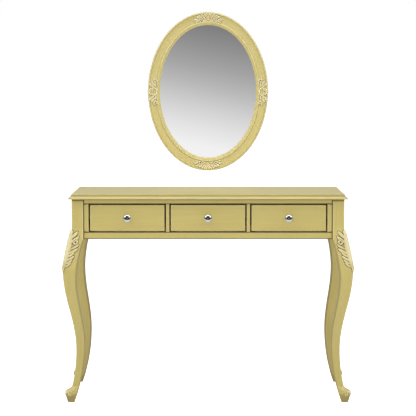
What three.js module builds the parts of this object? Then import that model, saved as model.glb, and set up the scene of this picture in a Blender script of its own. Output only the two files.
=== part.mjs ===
// Vanity table on cabriole legs, with three drawers and an oval wall mirror.
// Units are millimetres, +Z is up, +X is the sitter's right and the sitter looks along +Y.
// The origin is on the floor, under the middle of the whole outline.

import * as THREE from 'three';
import { mergeVertices } from 'three/addons/utils/BufferGeometryUtils.js';

// Clearances
const JOINT_GAP = 0.3; // between pieces that touch
const DRAWER_SIDE_GAP = 5.5; // drawer front to the side of its opening
const DRAWER_EDGE_GAP = 3.5; // drawer front to the rail over or under it
const GUIDE_GAP = 1; // drawer box to the guide beside it
const DRAWER_BACK_GAP = 10; // closed drawer to the back apron
const WALL_GAP = 4; // rear knees to the wall

// Table top
const TABLE_HEIGHT = 762;
const TOP_WIDTH = 1016;
const TOP_DEPTH = 401;
const TOP_THICKNESS = 18;
const TOP_OVERHANG = 12.5; // moulded edge to the face of the leg blocks
const TOP_FILLET_DROP = 2; // small upright step under the flat of the top
const TOP_FILLET_STEP = 2; // level step at the foot of that fillet
const TOP_NOSE_HEIGHT = 3.5; // upright lowest part of the moulded edge

// Case: rails, aprons and the face frame
const BLOCK_SIZE = 42;
const CASE_RECESS = 5; // face of the leg blocks to the face of the rails
const BOARD_THICKNESS = 20;
const BEARER_RAIL_DEPTH = 38; // the rail under the drawers is laid flat, front to back
const TOP_RAIL_HEIGHT = 18;
const DRAWER_OPENING_HEIGHT = 102;
const BOTTOM_RAIL_HEIGHT = 26;
const END_STILE_WIDTH = 19;
const DIVIDER_WIDTH = 12;
const CORNER_BLOCK_REACH = 50;
const CORNER_BLOCK_HEIGHT = 18;

// Cabriole leg: how far its faces stand out (+) or in (-) from the outer faces of its block
const KNEE_START_RISE = 42; // top of the knee above the lower edge of the rails
const KNEE_DROP = 152; // crown of the knee below the block
const KNEE_REACH = 31.4;
const KNEE_FULLNESS = 1.3; // power of the knee's upper curve
const HOLLOW_DROP = 143; // highest reach of the inner face below the rails
const HOLLOW_REACH = -18.1;
const HOLLOW_FULLNESS = 1.7;
const SHIN_HEIGHT = 190; // height of the slimmest stretch's outer face
const SHIN_REACH = -12.1;
const CALF_HEIGHT = 215; // height at which the inner face is furthest in
const CALF_REACH = -45.1;
const ANKLE_HEIGHT = 60;
const ANKLE_REACH = 1.5;
const TOE_HEIGHT = 34;
const TOE_REACH = 27;
const TOE_NOSE_RISE = 6; // rounding over and under the tip of the toe
const TOE_NOSE_SET_BACK = 1.7;
const SOLE_OUTER_REACH = 17;
const SOLE_INNER_REACH = -7;
const ARRIS_RADIUS = 3;

// Carved leaf on the knee
const LEAF_LENGTH = 160;
const LEAF_WIDTH = 42; // along each face, from the corner
const LEAF_TIP_WIDTH = 3.6;
const LEAF_THICKNESS = 3.3;
const LEAF_SWELL_HEIGHT = 1.4; // above 1 moves the widest place up the leaf
const LEAF_SWELL_FULLNESS = 0.8; // below 1 fills the outline out

// Drawers
const FRONT_THICKNESS = 18;
const BOX_BOARD_THICKNESS = 12;
const BOX_TOP_DROP = 15; // top of the drawer front to the top of the box
const BOX_INSET = 2; // end of the drawer front to the side of the box
const BOTTOM_THICKNESS = 5;
const BOTTOM_RISE = 9; // underside of the bottom above the lower edge of the sides
const GROOVE_DEPTH = 5;
const RUNNER_LEDGE_HEIGHT = 16;
const GUIDE_HEIGHT = 18;

// Knobs and their screws
const KNOB_DIAMETER = 30;
const KNOB_REACH = 27;
const KNOB_STEM_DIAMETER = 13;
const KNOB_STEM_LENGTH = 7;
const KNOB_FOOT_FLARE = 1.5; // the stem spreads by this where it meets the drawer
const KNOB_FOOT_HEIGHT = 1.7;
const SCREW_DIAMETER = 4;
const SCREW_CLEARANCE = 0.3; // round the screw's shaft
const SCREW_BITE = 10; // length of screw inside the knob
const SCREW_HEAD_DIAMETER = 9;
const SCREW_HEAD_HEIGHT = 2.6;
const SCREW_HEAD_FACE = 0.7; // flat of the head as a share of its radius

// Oval mirror
const MIRROR_WIDTH = 461;
const MIRROR_HEIGHT = 608;
const MOULDING_SIDE_WIDTH = 45; // width of the frame at its sides
const MOULDING_END_WIDTH = 49.5; // width of the frame at its top and bottom
const MIRROR_RISE = 62; // table top to the foot of the mirror
const REBATE_WIDTH = 7;
const REBATE_DEPTH = 11;
const SIGHT_LIP_HEIGHT = 3; // front of the sight lip above the rebate
const FRAME_RIM_HEIGHT = 25; // outer rim above the back of the frame
const RIM_STEP = 2; // outer rim above the band beside it
const FRAME_BAND_FALL = 6; // fall of the broad band from its outer to its inner edge
const LIP_CROWN_STEP = 2.5; // crown of the sight lip above the band beside it
const LIP_CROWN_SHARE = 0.26; // shares of the moulding's width, from the sight edge outwards
const BAND_INNER_SHARE = 0.31;
const BAND_OUTER_SHARE = 0.86;
const RIM_INNER_SHARE = 0.89;
const RIM_OUTER_SHARE = 0.97;
const RIM_ROUNDING = 3;
const BACK_EASING = 4;
const GLASS_THICKNESS = 3;
const BACKING_THICKNESS = 3;
const PANEL_EDGE_GAP = 0.6; // round the glass and the backing in the rebate
const CREST_LENGTH = 112;
const CREST_MARGIN = 0.8; // bare band left at each side of an ornament
const CREST_TIP_WIDTH = 9;
const CREST_HEIGHT = 6;
const CREST_END_RISE = 0.4; // height at the tips as a share of the full height
const CREST_CROWN_SHARE = 0.5; // flat crown as a share of the width
const CREST_SEAT_GAP = 0.4;

// Z-shaped hanger bars, seen from the side
const BAR_LENGTH = 300;
const BAR_PLATE_HEIGHT = 24;
const BAR_METAL = 1.6;
const BAR_LIP_HEIGHT = 14;
const BAR_LIP_CLEARANCE = 0.7; // before and behind the mirror bar's lip in the wall bar's slot
const BAR_HEIGHT_ABOVE_CENTRE = 190;
const BUMPER_DIAMETER = 16;
const BUMPER_SPACING = 120;
const BUMPER_DROP = 268; // bumpers below the middle of the mirror

// How finely the curves are divided
const LEG_CORNER_POINTS = 3;
const LEG_STEP = 24;
const TOE_STEP = 4;
const OVAL_SEGMENTS = 64;
const KNOB_SEGMENTS = 24;
const SCREW_SEGMENTS = 12;
const HOLE_SEGMENTS = 16;
const BUMPER_SEGMENTS = 16;
const COVE_STEPS = 6;
const KNOB_HEAD_STEPS = 10;

// Places worked out from the sizes
const caseHalfWidth = TOP_WIDTH / 2 - TOP_OVERHANG;
const caseHalfDepth = TOP_DEPTH / 2 - TOP_OVERHANG;
const topUnderside = TABLE_HEIGHT - TOP_THICKNESS;
const openingTop = topUnderside - TOP_RAIL_HEIGHT;
const openingBottom = openingTop - DRAWER_OPENING_HEIGHT;
const caseBottom = openingBottom - BOTTOM_RAIL_HEIGHT;
const blockBottom = caseBottom + KNEE_START_RISE;
const blockInnerX = caseHalfWidth - BLOCK_SIZE;
const blockInnerY = caseHalfDepth - BLOCK_SIZE;
const railFaceY = -caseHalfDepth + CASE_RECESS;
const railBackY = railFaceY + BOARD_THICKNESS;
const bearerBackY = railFaceY + BEARER_RAIL_DEPTH;
const backApronInnerY = caseHalfDepth - CASE_RECESS - BOARD_THICKNESS;
const openingHalfSpan = blockInnerX - END_STILE_WIDTH;
const openingWidth = (2 * openingHalfSpan - 2 * DIVIDER_WIDTH) / 3;
const drawerPitch = openingWidth + DIVIDER_WIDTH;
const frontWidth = openingWidth - 2 * DRAWER_SIDE_GAP;
const frontHeight = DRAWER_OPENING_HEIGHT - 2 * DRAWER_EDGE_GAP;
const frontBottom = openingBottom + DRAWER_EDGE_GAP;
const frontBackY = railFaceY + FRONT_THICKNESS;
const boxWidth = frontWidth - 2 * BOX_INSET;
const boxTop = frontBottom + frontHeight - BOX_TOP_DROP;
const boxFrontY = frontBackY + JOINT_GAP;
const boxBackY = backApronInnerY - DRAWER_BACK_GAP;
const ledgeTop = frontBottom - JOINT_GAP;
const mirrorCentreZ = TABLE_HEIGHT + MIRROR_RISE + MIRROR_HEIGHT / 2;
const barSlot = BAR_METAL + 2 * BAR_LIP_CLEARANCE;
const frameStandOff = barSlot + 2 * (BAR_METAL + JOINT_GAP);
const wallY = caseHalfDepth + KNEE_REACH + LEAF_THICKNESS + JOINT_GAP + WALL_GAP;

// Finishes
function paint(name, colour, roughness) {
  return new THREE.MeshStandardMaterial({ name, color: colour, roughness, metalness: 0 });
}

function metal(name, colour, roughness) {
  return new THREE.MeshStandardMaterial({ name, color: colour, roughness, metalness: 1 });
}

const finishes = {
  champagnePaint: () => paint('champagne_paint', 0xc9ba7b, 0.42),
  leafPaint: () => paint('leaf_paint', 0xd8c98c, 0.38),
  framePaint: () => paint('frame_paint', 0xdccb8f, 0.36),
  rawWood: () => paint('raw_wood', 0xc9a678, 0.7),
  hardboard: () => paint('hardboard', 0x8a6a4a, 0.8),
  felt: () => paint('felt', 0x4a463f, 0.95),
  chrome: () => metal('chrome', 0xdfe2e6, 0.06),
  steel: () => metal('steel', 0xb4b6b8, 0.35),
  silvering: () => metal('silvering', 0xe6e8ea, 0.02),
};

// ---------- Helpers ----------

function piece(name, geometry, finish) {
  geometry.deleteAttribute('normal');
  geometry.deleteAttribute('uv');
  const merged = mergeVertices(geometry, 1e-3);
  faceOutward(merged);
  merged.computeVertexNormals();
  const mesh = new THREE.Mesh(merged, finishes[finish]());
  mesh.name = name;
  return mesh;
}

// Turns every triangle round if the closed shape was built inside out.
function faceOutward(geometry) {
  const index = geometry.index.array;
  const corners = [new THREE.Vector3(), new THREE.Vector3(), new THREE.Vector3()];
  let volume = 0;
  for (let i = 0; i < index.length; i += 3) {
    corners.forEach((corner, k) => corner.fromBufferAttribute(geometry.attributes.position, index[i + k]));
    volume += corners[0].dot(corners[1].clone().cross(corners[2])) / 6;
  }
  if (volume < 0) {
    for (let i = 0; i < index.length; i += 3) {
      [index[i], index[i + 1]] = [index[i + 1], index[i]];
    }
  }
}

function board(name, finish, x0, x1, y0, y1, z0, z1) {
  const geometry = new THREE.BoxGeometry(x1 - x0, y1 - y0, z1 - z0);
  geometry.translate((x0 + x1) / 2, (y0 + y1) / 2, (z0 + z1) / 2);
  return piece(name, geometry, finish);
}

// A closed skin over a row of sections. Each section is {points, hub}: all have the same number of
// points, and the hub closes the first and the last one. The grid comes from a lathe whose profile
// starts and ends on its axis.
function loft(sections) {
  const sides = sections[0].points.length;
  const profile = sections.map((_, k) => new THREE.Vector2(1, k));
  profile.unshift(new THREE.Vector2(0, 0));
  profile.push(new THREE.Vector2(0, sections.length - 1));
  const geometry = new THREE.LatheGeometry(profile, sides);
  const position = geometry.attributes.position;
  for (let side = 0; side <= sides; side += 1) {
    for (let row = 0; row < profile.length; row += 1) {
      const section = sections[THREE.MathUtils.clamp(row - 1, 0, sections.length - 1)];
      const isHub = row === 0 || row === profile.length - 1;
      const point = isHub ? section.hub : section.points[side % sides];
      position.setXYZ(side * profile.length + row, point.x, point.y, point.z);
    }
  }
  return geometry;
}

// A flat outline given as [across, up] pairs.
function outline(points) {
  return new THREE.Shape(points.map(([x, y]) => new THREE.Vector2(x, y)));
}

// An upright outline in X and Z, carried from y0 to y1.
function extrudeAlongY(shape, y0, y1) {
  const settings = { depth: y1 - y0, bevelEnabled: false, curveSegments: HOLE_SEGMENTS };
  const geometry = new THREE.ExtrudeGeometry(shape, settings);
  geometry.rotateX(Math.PI / 2);
  geometry.translate(0, y1, 0);
  return geometry;
}

// A level outline in X and Y, carried from z0 to z1.
function extrudeUp(shape, z0, z1) {
  const geometry = new THREE.ExtrudeGeometry(shape, { depth: z1 - z0, bevelEnabled: false });
  geometry.translate(0, 0, z0);
  return geometry;
}

// An upright outline in Y and Z, carried from x0 to x1.
function extrudeAlongX(shape, x0, x1) {
  const geometry = new THREE.ExtrudeGeometry(shape, { depth: x1 - x0, bevelEnabled: false });
  geometry.rotateX(Math.PI / 2);
  geometry.rotateZ(Math.PI / 2);
  geometry.translate(x0, 0, 0);
  return geometry;
}

// A profile given as [radius, reach] pairs, turned about an axis along -Y.
function turnedAlongY(profile, segments, x, z) {
  const points = profile.map(([radius, reach]) => new THREE.Vector2(radius, -reach));
  const geometry = new THREE.LatheGeometry(points, segments);
  geometry.translate(x, 0, z);
  return geometry;
}

// ---------- Table top ----------

// Inset of the moulded edge at each height: nose, cove, fillet and flat top.
function topEdgeProfile() {
  const coveWidth = TOP_OVERHANG - TOP_FILLET_STEP;
  const noseTopZ = topUnderside + TOP_NOSE_HEIGHT;
  const coveTopZ = TABLE_HEIGHT - TOP_FILLET_DROP;
  const profile = [[0, topUnderside]];
  for (let k = 0; k <= COVE_STEPS; k += 1) {
    const angle = (k / COVE_STEPS) * Math.PI / 2;
    const z = THREE.MathUtils.lerp(coveTopZ, noseTopZ, Math.cos(angle));
    profile.push([coveWidth * Math.sin(angle), z]);
  }
  profile.push([TOP_OVERHANG, coveTopZ]);
  profile.push([TOP_OVERHANG, TABLE_HEIGHT]);
  return profile;
}

function tableTop() {
  const sections = topEdgeProfile().map(([inset, z]) => {
    const x = TOP_WIDTH / 2 - inset;
    const y = TOP_DEPTH / 2 - inset;
    const points = [[x, y], [-x, y], [-x, -y], [x, -y]].map(([px, py]) => new THREE.Vector3(px, py, z));
    return { points, hub: new THREE.Vector3(0, 0, z) };
  });
  return piece('table_top', loft(sections), 'champagnePaint');
}

// ---------- Cabriole leg ----------

function easeBetween(t, from, to) {
  return from + (to - from) * (1 - Math.cos(Math.PI * t)) / 2;
}

function toeReach(z) {
  const noseTop = TOE_HEIGHT + TOE_NOSE_RISE;
  const noseBottom = TOE_HEIGHT - TOE_NOSE_RISE;
  if (z >= noseTop) {
    const t = (ANKLE_HEIGHT - z) / (ANKLE_HEIGHT - noseTop);
    return THREE.MathUtils.lerp(ANKLE_REACH, TOE_REACH - TOE_NOSE_SET_BACK, t ** 2);
  }
  if (z >= noseBottom) {
    return TOE_REACH - TOE_NOSE_SET_BACK * ((z - TOE_HEIGHT) / TOE_NOSE_RISE) ** 2;
  }
  return THREE.MathUtils.lerp(SOLE_OUTER_REACH, TOE_REACH - TOE_NOSE_SET_BACK, z / noseBottom);
}

function outerReach(z) {
  const kneeZ = blockBottom - KNEE_DROP;
  if (z >= blockBottom) {
    return 0;
  }
  if (z >= kneeZ) {
    return KNEE_REACH * (1 - ((z - kneeZ) / KNEE_DROP) ** KNEE_FULLNESS);
  }
  if (z >= SHIN_HEIGHT) {
    return easeBetween((kneeZ - z) / (kneeZ - SHIN_HEIGHT), KNEE_REACH, SHIN_REACH);
  }
  if (z >= ANKLE_HEIGHT) {
    const t = (SHIN_HEIGHT - z) / (SHIN_HEIGHT - ANKLE_HEIGHT);
    return THREE.MathUtils.lerp(SHIN_REACH, ANKLE_REACH, t ** 2);
  }
  return toeReach(z);
}

function innerReach(z) {
  const hollowZ = caseBottom - HOLLOW_DROP;
  if (z >= caseBottom) {
    return -BLOCK_SIZE;
  }
  if (z >= hollowZ) {
    const t = (z - hollowZ) / HOLLOW_DROP;
    return THREE.MathUtils.lerp(HOLLOW_REACH, -BLOCK_SIZE, t ** HOLLOW_FULLNESS);
  }
  if (z >= CALF_HEIGHT) {
    return easeBetween((hollowZ - z) / (hollowZ - CALF_HEIGHT), HOLLOW_REACH, CALF_REACH);
  }
  const t = (CALF_HEIGHT - z) / CALF_HEIGHT;
  return THREE.MathUtils.lerp(CALF_REACH, SOLE_INNER_REACH, t ** 2);
}

// Heights of the leg's sections: every height where its faces change, and steps between them.
function legHeights() {
  const toeBottom = TOE_HEIGHT - TOE_NOSE_RISE;
  const marks = [
    0, toeBottom, TOE_HEIGHT, TOE_HEIGHT + TOE_NOSE_RISE, ANKLE_HEIGHT, SHIN_HEIGHT,
    blockBottom - KNEE_DROP, blockBottom - LEAF_LENGTH, caseBottom, blockBottom, topUnderside - JOINT_GAP,
  ].sort((a, b) => a - b);
  const heights = [marks[0]];
  for (let k = 1; k < marks.length; k += 1) {
    const [from, to] = [marks[k - 1], marks[k]];
    const isStraight = to <= toeBottom || from >= blockBottom;
    const step = to <= ANKLE_HEIGHT ? TOE_STEP : LEG_STEP;
    const count = isStraight ? 1 : Math.ceil((to - from) / step);
    for (let j = 1; j <= count && to > from; j += 1) {
      heights.push(THREE.MathUtils.lerp(from, to, j / count));
    }
  }
  return heights;
}

// A point at the given outward distances from the leg block's outer faces.
function legPoint(side, end, reachX, reachY, z) {
  return new THREE.Vector3(side * (caseHalfWidth + reachX), end * (caseHalfDepth + reachY), z);
}

// One square section of the leg with rounded arrises.
function legSection(side, end, z) {
  const outer = outerReach(z);
  const inner = innerReach(z);
  const middle = (outer + inner) / 2;
  const halfFlat = (outer - inner) / 2 - ARRIS_RADIUS;
  const points = [];
  for (const [quarter, cornerX, cornerY] of [[0, 1, 1], [1, -1, 1], [2, -1, -1], [3, 1, -1]]) {
    for (let k = 0; k < LEG_CORNER_POINTS; k += 1) {
      const angle = (quarter + k / (LEG_CORNER_POINTS - 1)) * Math.PI / 2;
      const reachX = middle + cornerX * halfFlat + ARRIS_RADIUS * Math.cos(angle);
      const reachY = middle + cornerY * halfFlat + ARRIS_RADIUS * Math.sin(angle);
      points.push(legPoint(side, end, reachX, reachY, z));
    }
  }
  return { points, hub: legPoint(side, end, middle, middle, z) };
}

function leg(name, side, end) {
  return piece(name, loft(legHeights().map((z) => legSection(side, end, z))), 'champagnePaint');
}

// Width of the leaf along each face: it swells quickly from the top and draws out to a long tip.
function leafWidth(z) {
  const t = (z - (blockBottom - LEAF_LENGTH)) / LEAF_LENGTH;
  const swell = Math.sin(Math.PI * t ** LEAF_SWELL_HEIGHT) ** LEAF_SWELL_FULLNESS;
  return LEAF_TIP_WIDTH + (LEAF_WIDTH - LEAF_TIP_WIDTH) * swell;
}

// The leaf wraps the outer corner of the knee, so its section is an L.
function leafSection(side, end, z) {
  const seat = outerReach(z) + JOINT_GAP;
  const face = seat + LEAF_THICKNESS;
  const far = face - leafWidth(z) - LEAF_THICKNESS;
  const edge = seat + LEAF_THICKNESS / 2;
  const corners = [
    [face, far], [face, face], [far, face], [far, edge],
    [far, seat], [seat, seat], [seat, far], [edge, far],
  ];
  const points = corners.map(([x, y]) => legPoint(side, end, x, y, z));
  const hubReach = (seat + face) / 2;
  return { points, hub: legPoint(side, end, hubReach, hubReach, z) };
}

function kneeLeaf(name, side, end) {
  const tip = blockBottom - LEAF_LENGTH;
  const heights = legHeights().filter((z) => z >= tip - JOINT_GAP && z <= blockBottom + JOINT_GAP);
  return piece(name, loft(heights.map((z) => leafSection(side, end, z))), 'leafPaint');
}

// ---------- Case ----------

function faceFrame() {
  const railX = blockInnerX - JOINT_GAP;
  const stileZ0 = openingBottom + JOINT_GAP;
  const stileZ1 = openingTop - JOINT_GAP;
  const rail = (name, backY, z0, z1) => (
    board(name, 'champagnePaint', -railX, railX, railFaceY, backY, z0, z1));
  const stile = (name, x0, x1) => (
    board(name, 'champagnePaint', x0, x1, railFaceY, railBackY, stileZ0, stileZ1));
  const dividerX = openingWidth / 2;
  return [
    rail('front_top_rail', railBackY, openingTop, topUnderside - JOINT_GAP),
    rail('front_bottom_rail', bearerBackY, caseBottom, openingBottom),
    stile('end_stile_left', -railX, -openingHalfSpan),
    stile('divider_stile_left', -dividerX - DIVIDER_WIDTH, -dividerX),
    stile('divider_stile_right', dividerX, dividerX + DIVIDER_WIDTH),
    stile('end_stile_right', openingHalfSpan, railX),
  ];
}

function aprons() {
  const outerX = caseHalfWidth - CASE_RECESS;
  const innerX = outerX - BOARD_THICKNESS;
  const endY = blockInnerY - JOINT_GAP;
  const z1 = topUnderside - JOINT_GAP;
  const backX = blockInnerX - JOINT_GAP;
  const backY = caseHalfDepth - CASE_RECESS;
  return [
    board('side_apron_left', 'champagnePaint', -outerX, -innerX, -endY, endY, caseBottom, z1),
    board('side_apron_right', 'champagnePaint', innerX, outerX, -endY, endY, caseBottom, z1),
    board('back_apron', 'champagnePaint', -backX, backX, backApronInnerY, backY, caseBottom, z1),
  ];
}

// A ledge under the drawer sides with an upright guide between them.
function runner(name, ledgeX0, ledgeX1, guideX0, guideX1) {
  const z0 = ledgeTop - RUNNER_LEDGE_HEIGHT;
  const guideTop = ledgeTop + GUIDE_HEIGHT;
  const points = [[ledgeX0, z0], [ledgeX1, z0], [ledgeX1, ledgeTop]];
  if (guideX1 < ledgeX1) {
    points.push([guideX1, ledgeTop]);
  }
  points.push([guideX1, guideTop], [guideX0, guideTop]);
  if (guideX0 > ledgeX0) {
    points.push([guideX0, ledgeTop], [ledgeX0, ledgeTop]);
  }
  const geometry = extrudeAlongY(outline(points), bearerBackY + JOINT_GAP, backApronInnerY - JOINT_GAP);
  return piece(name, geometry, 'rawWood');
}

function runners() {
  const ledge = BOX_BOARD_THICKNESS + GUIDE_GAP;
  const centreBox = boxWidth / 2;
  const sideBoxInner = drawerPitch - boxWidth / 2;
  const sideBoxOuter = drawerPitch + boxWidth / 2;
  const inner0 = centreBox + GUIDE_GAP;
  const inner1 = sideBoxInner - GUIDE_GAP;
  const outer0 = sideBoxOuter + GUIDE_GAP;
  const outer1 = blockInnerX - JOINT_GAP;
  return [
    runner('runner_outer_left', -outer1, -outer0 + ledge, -outer1, -outer0),
    runner('runner_inner_left', -inner1 - ledge, -inner0 + ledge, -inner1, -inner0),
    runner('runner_inner_right', inner0 - ledge, inner1 + ledge, inner0, inner1),
    runner('runner_outer_right', outer0 - ledge, outer1, outer0, outer1),
  ];
}

// Glued block in the corner between the boards, notched round the leg block.
function cornerBlock(name, side, end) {
  const boardX = caseHalfWidth - CASE_RECESS - BOARD_THICKNESS - JOINT_GAP;
  const boardY = caseHalfDepth - CASE_RECESS - BOARD_THICKNESS - JOINT_GAP;
  const notchX = blockInnerX - JOINT_GAP;
  const notchY = blockInnerY - JOINT_GAP;
  const corners = [
    [notchX, boardY],
    [notchX - CORNER_BLOCK_REACH, boardY],
    [boardX, notchY - CORNER_BLOCK_REACH],
    [boardX, notchY],
    [notchX, notchY],
  ];
  const z1 = topUnderside - JOINT_GAP;
  const shape = outline(corners.map(([x, y]) => [side * x, end * y]));
  return piece(name, extrudeUp(shape, z1 - CORNER_BLOCK_HEIGHT, z1), 'rawWood');
}

function cornerPieces() {
  const pieces = [];
  for (const [endName, end] of [['front', -1], ['rear', 1]]) {
    for (const [sideName, side] of [['left', -1], ['right', 1]]) {
      pieces.push(leg(`leg_${endName}_${sideName}`, side, end));
      pieces.push(kneeLeaf(`knee_leaf_${endName}_${sideName}`, side, end));
      pieces.push(cornerBlock(`corner_block_${endName}_${sideName}`, side, end));
    }
  }
  return pieces;
}

// ---------- Drawers ----------

function drawerFront(name, centreX) {
  const x = frontWidth / 2;
  const shape = outline([
    [-x, frontBottom], [x, frontBottom], [x, frontBottom + frontHeight], [-x, frontBottom + frontHeight],
  ]);
  const hole = new THREE.Path();
  const bore = SCREW_DIAMETER / 2 + SCREW_CLEARANCE;
  hole.absarc(0, frontBottom + frontHeight / 2, bore, 0, Math.PI * 2, true);
  shape.holes.push(hole);
  const geometry = extrudeAlongY(shape, railFaceY, frontBackY);
  geometry.translate(centreX, 0, 0);
  return piece(name, geometry, 'champagnePaint');
}

// A side board with a groove for the bottom on its inner face, which points along `inward`.
function drawerSide(name, outerX, inward) {
  const innerX = outerX + inward * BOX_BOARD_THICKNESS;
  const grooveX = innerX - inward * GROOVE_DEPTH;
  const grooveZ0 = frontBottom + BOTTOM_RISE - JOINT_GAP;
  const grooveZ1 = frontBottom + BOTTOM_RISE + BOTTOM_THICKNESS + JOINT_GAP;
  const shape = outline([
    [outerX, frontBottom], [innerX, frontBottom], [innerX, grooveZ0], [grooveX, grooveZ0],
    [grooveX, grooveZ1], [innerX, grooveZ1], [innerX, boxTop],
    [outerX, boxTop],
  ]);
  return piece(name, extrudeAlongY(shape, boxFrontY, boxBackY), 'rawWood');
}

function knob(name, centreX) {
  const radius = KNOB_DIAMETER / 2;
  const stem = KNOB_STEM_DIAMETER / 2;
  const bore = SCREW_DIAMETER / 2 + SCREW_CLEARANCE;
  const foot = JOINT_GAP;
  const boreEnd = foot + SCREW_BITE + JOINT_GAP;
  const profile = [[0, boreEnd], [bore, boreEnd], [bore, foot], [stem + KNOB_FOOT_FLARE, foot]];
  profile.push([stem, foot + KNOB_FOOT_HEIGHT]);
  const headFrom = foot + KNOB_STEM_LENGTH;
  const headMiddle = (headFrom + KNOB_REACH) / 2;
  const headHalf = (KNOB_REACH - headFrom) / 2;
  const startAngle = Math.asin(stem / radius);
  for (let k = 0; k <= KNOB_HEAD_STEPS; k += 1) {
    const angle = THREE.MathUtils.lerp(startAngle, Math.PI, k / KNOB_HEAD_STEPS);
    const ring = k === KNOB_HEAD_STEPS ? 0 : radius * Math.sin(angle);
    profile.push([ring, headMiddle - headHalf * Math.cos(angle)]);
  }
  const geometry = turnedAlongY(profile, KNOB_SEGMENTS, centreX, frontBottom + frontHeight / 2);
  geometry.translate(0, railFaceY, 0);
  return piece(name, geometry, 'chrome');
}

function knobScrew(name, centreX) {
  const shaft = SCREW_DIAMETER / 2;
  const head = SCREW_HEAD_DIAMETER / 2;
  const seat = -FRONT_THICKNESS - JOINT_GAP;
  const end = JOINT_GAP + SCREW_BITE;
  const profile = [
    [0, seat - SCREW_HEAD_HEIGHT],
    [head * SCREW_HEAD_FACE, seat - SCREW_HEAD_HEIGHT],
    [head, seat - SCREW_HEAD_HEIGHT / 2],
    [head, seat],
    [shaft, seat],
    [shaft, end],
    [0, end],
  ];
  const geometry = turnedAlongY(profile, SCREW_SEGMENTS, centreX, frontBottom + frontHeight / 2);
  geometry.translate(0, railFaceY, 0);
  return piece(name, geometry, 'steel');
}

function drawer(label, centreX) {
  const outer = boxWidth / 2;
  const inner = outer - BOX_BOARD_THICKNESS;
  const bottomX = inner + GROOVE_DEPTH - JOINT_GAP;
  const bottomZ = frontBottom + BOTTOM_RISE;
  const backX = inner - JOINT_GAP;
  const backZ = bottomZ + BOTTOM_THICKNESS + JOINT_GAP;
  const group = new THREE.Group();
  group.add(
    drawerFront(`${label}_front`, centreX),
    drawerSide(`${label}_side_left`, centreX - outer, 1),
    drawerSide(`${label}_side_right`, centreX + outer, -1),
    board(
      `${label}_back`, 'rawWood', centreX - backX, centreX + backX,
      boxBackY - BOX_BOARD_THICKNESS, boxBackY, backZ, boxTop),
    board(
      `${label}_bottom`, 'rawWood', centreX - bottomX, centreX + bottomX,
      boxFrontY, boxBackY, bottomZ, bottomZ + BOTTOM_THICKNESS),
    knob(`${label}_knob`, centreX),
    knobScrew(`${label}_knob_screw`, centreX),
  );
  return group;
}

// ---------- Oval mirror ----------

// A point of the mirror: t is 0 at the sight edge and 1 at the outer edge, and may go past either;
// depth is the distance from the wall; angle is 0 at the right and a quarter turn at the top.
function ovalPoint(t, depth, angle) {
  const halfWidth = MIRROR_WIDTH / 2 - (1 - t) * MOULDING_SIDE_WIDTH;
  const halfHeight = MIRROR_HEIGHT / 2 - (1 - t) * MOULDING_END_WIDTH;
  return new THREE.Vector3(
    halfWidth * Math.cos(angle), wallY - depth, mirrorCentreZ + halfHeight * Math.sin(angle));
}

const rebateT = REBATE_WIDTH / MOULDING_SIDE_WIDTH;
const rebateFace = frameStandOff + REBATE_DEPTH;
const rimDepth = frameStandOff + FRAME_RIM_HEIGHT;
const bandOuter = { t: BAND_OUTER_SHARE, depth: rimDepth - RIM_STEP };
const bandInner = { t: BAND_INNER_SHARE, depth: rimDepth - RIM_STEP - FRAME_BAND_FALL };
const crestWidth = (bandOuter.t - bandInner.t) * MOULDING_SIDE_WIDTH - 2 * CREST_MARGIN;

// Section of the frame moulding as [t, depth] pairs: rebate, sight lip rising to its crown, step down
// to the broad band, step up to the outer rim, then the outside and the back.
function framePoints() {
  const sightDepth = rebateFace + SIGHT_LIP_HEIGHT;
  const crownDepth = bandInner.depth + LIP_CROWN_STEP;
  return [
    [rebateT, rebateFace],
    [0, rebateFace],
    [0, sightDepth],
    [LIP_CROWN_SHARE / 2, (sightDepth + crownDepth) / 2],
    [LIP_CROWN_SHARE, crownDepth],
    [bandInner.t, bandInner.depth],
    [bandOuter.t, bandOuter.depth],
    [RIM_INNER_SHARE, rimDepth],
    [RIM_OUTER_SHARE, rimDepth],
    [1, rimDepth - RIM_ROUNDING],
    [1, frameStandOff + BACK_EASING],
    [RIM_OUTER_SHARE, frameStandOff],
    [rebateT, frameStandOff],
  ];
}

// A closed ring: a lathe's grid whose points are moved onto the oval.
function mirrorFrame() {
  const section = framePoints();
  const profile = [...section, section[0]].map(([t, depth]) => new THREE.Vector2(1 + t, depth));
  const geometry = new THREE.LatheGeometry(profile, OVAL_SEGMENTS);
  const position = geometry.attributes.position;
  for (let segment = 0; segment <= OVAL_SEGMENTS; segment += 1) {
    profile.forEach((_, row) => {
      const [t, depth] = section[row % section.length];
      const point = ovalPoint(t, depth, (segment % OVAL_SEGMENTS) / OVAL_SEGMENTS * Math.PI * 2);
      position.setXYZ(segment * profile.length + row, point.x, point.y, point.z);
    });
  }
  return piece('mirror_frame', geometry, 'framePaint');
}

// A flat oval panel that lies in the rebate, between two distances from the wall.
function ovalPanel(name, depth0, depth1, finish) {
  const sections = [depth0, depth1].map((depth) => {
    const points = [];
    for (let segment = 0; segment < OVAL_SEGMENTS; segment += 1) {
      const point = ovalPoint(rebateT, depth, segment / OVAL_SEGMENTS * Math.PI * 2);
      const inward = new THREE.Vector3(-point.x, 0, mirrorCentreZ - point.z).normalize();
      points.push(point.addScaledVector(inward, PANEL_EDGE_GAP));
    }
    return { points, hub: new THREE.Vector3(0, wallY - depth, mirrorCentreZ) };
  });
  return piece(name, loft(sections), finish);
}

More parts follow.
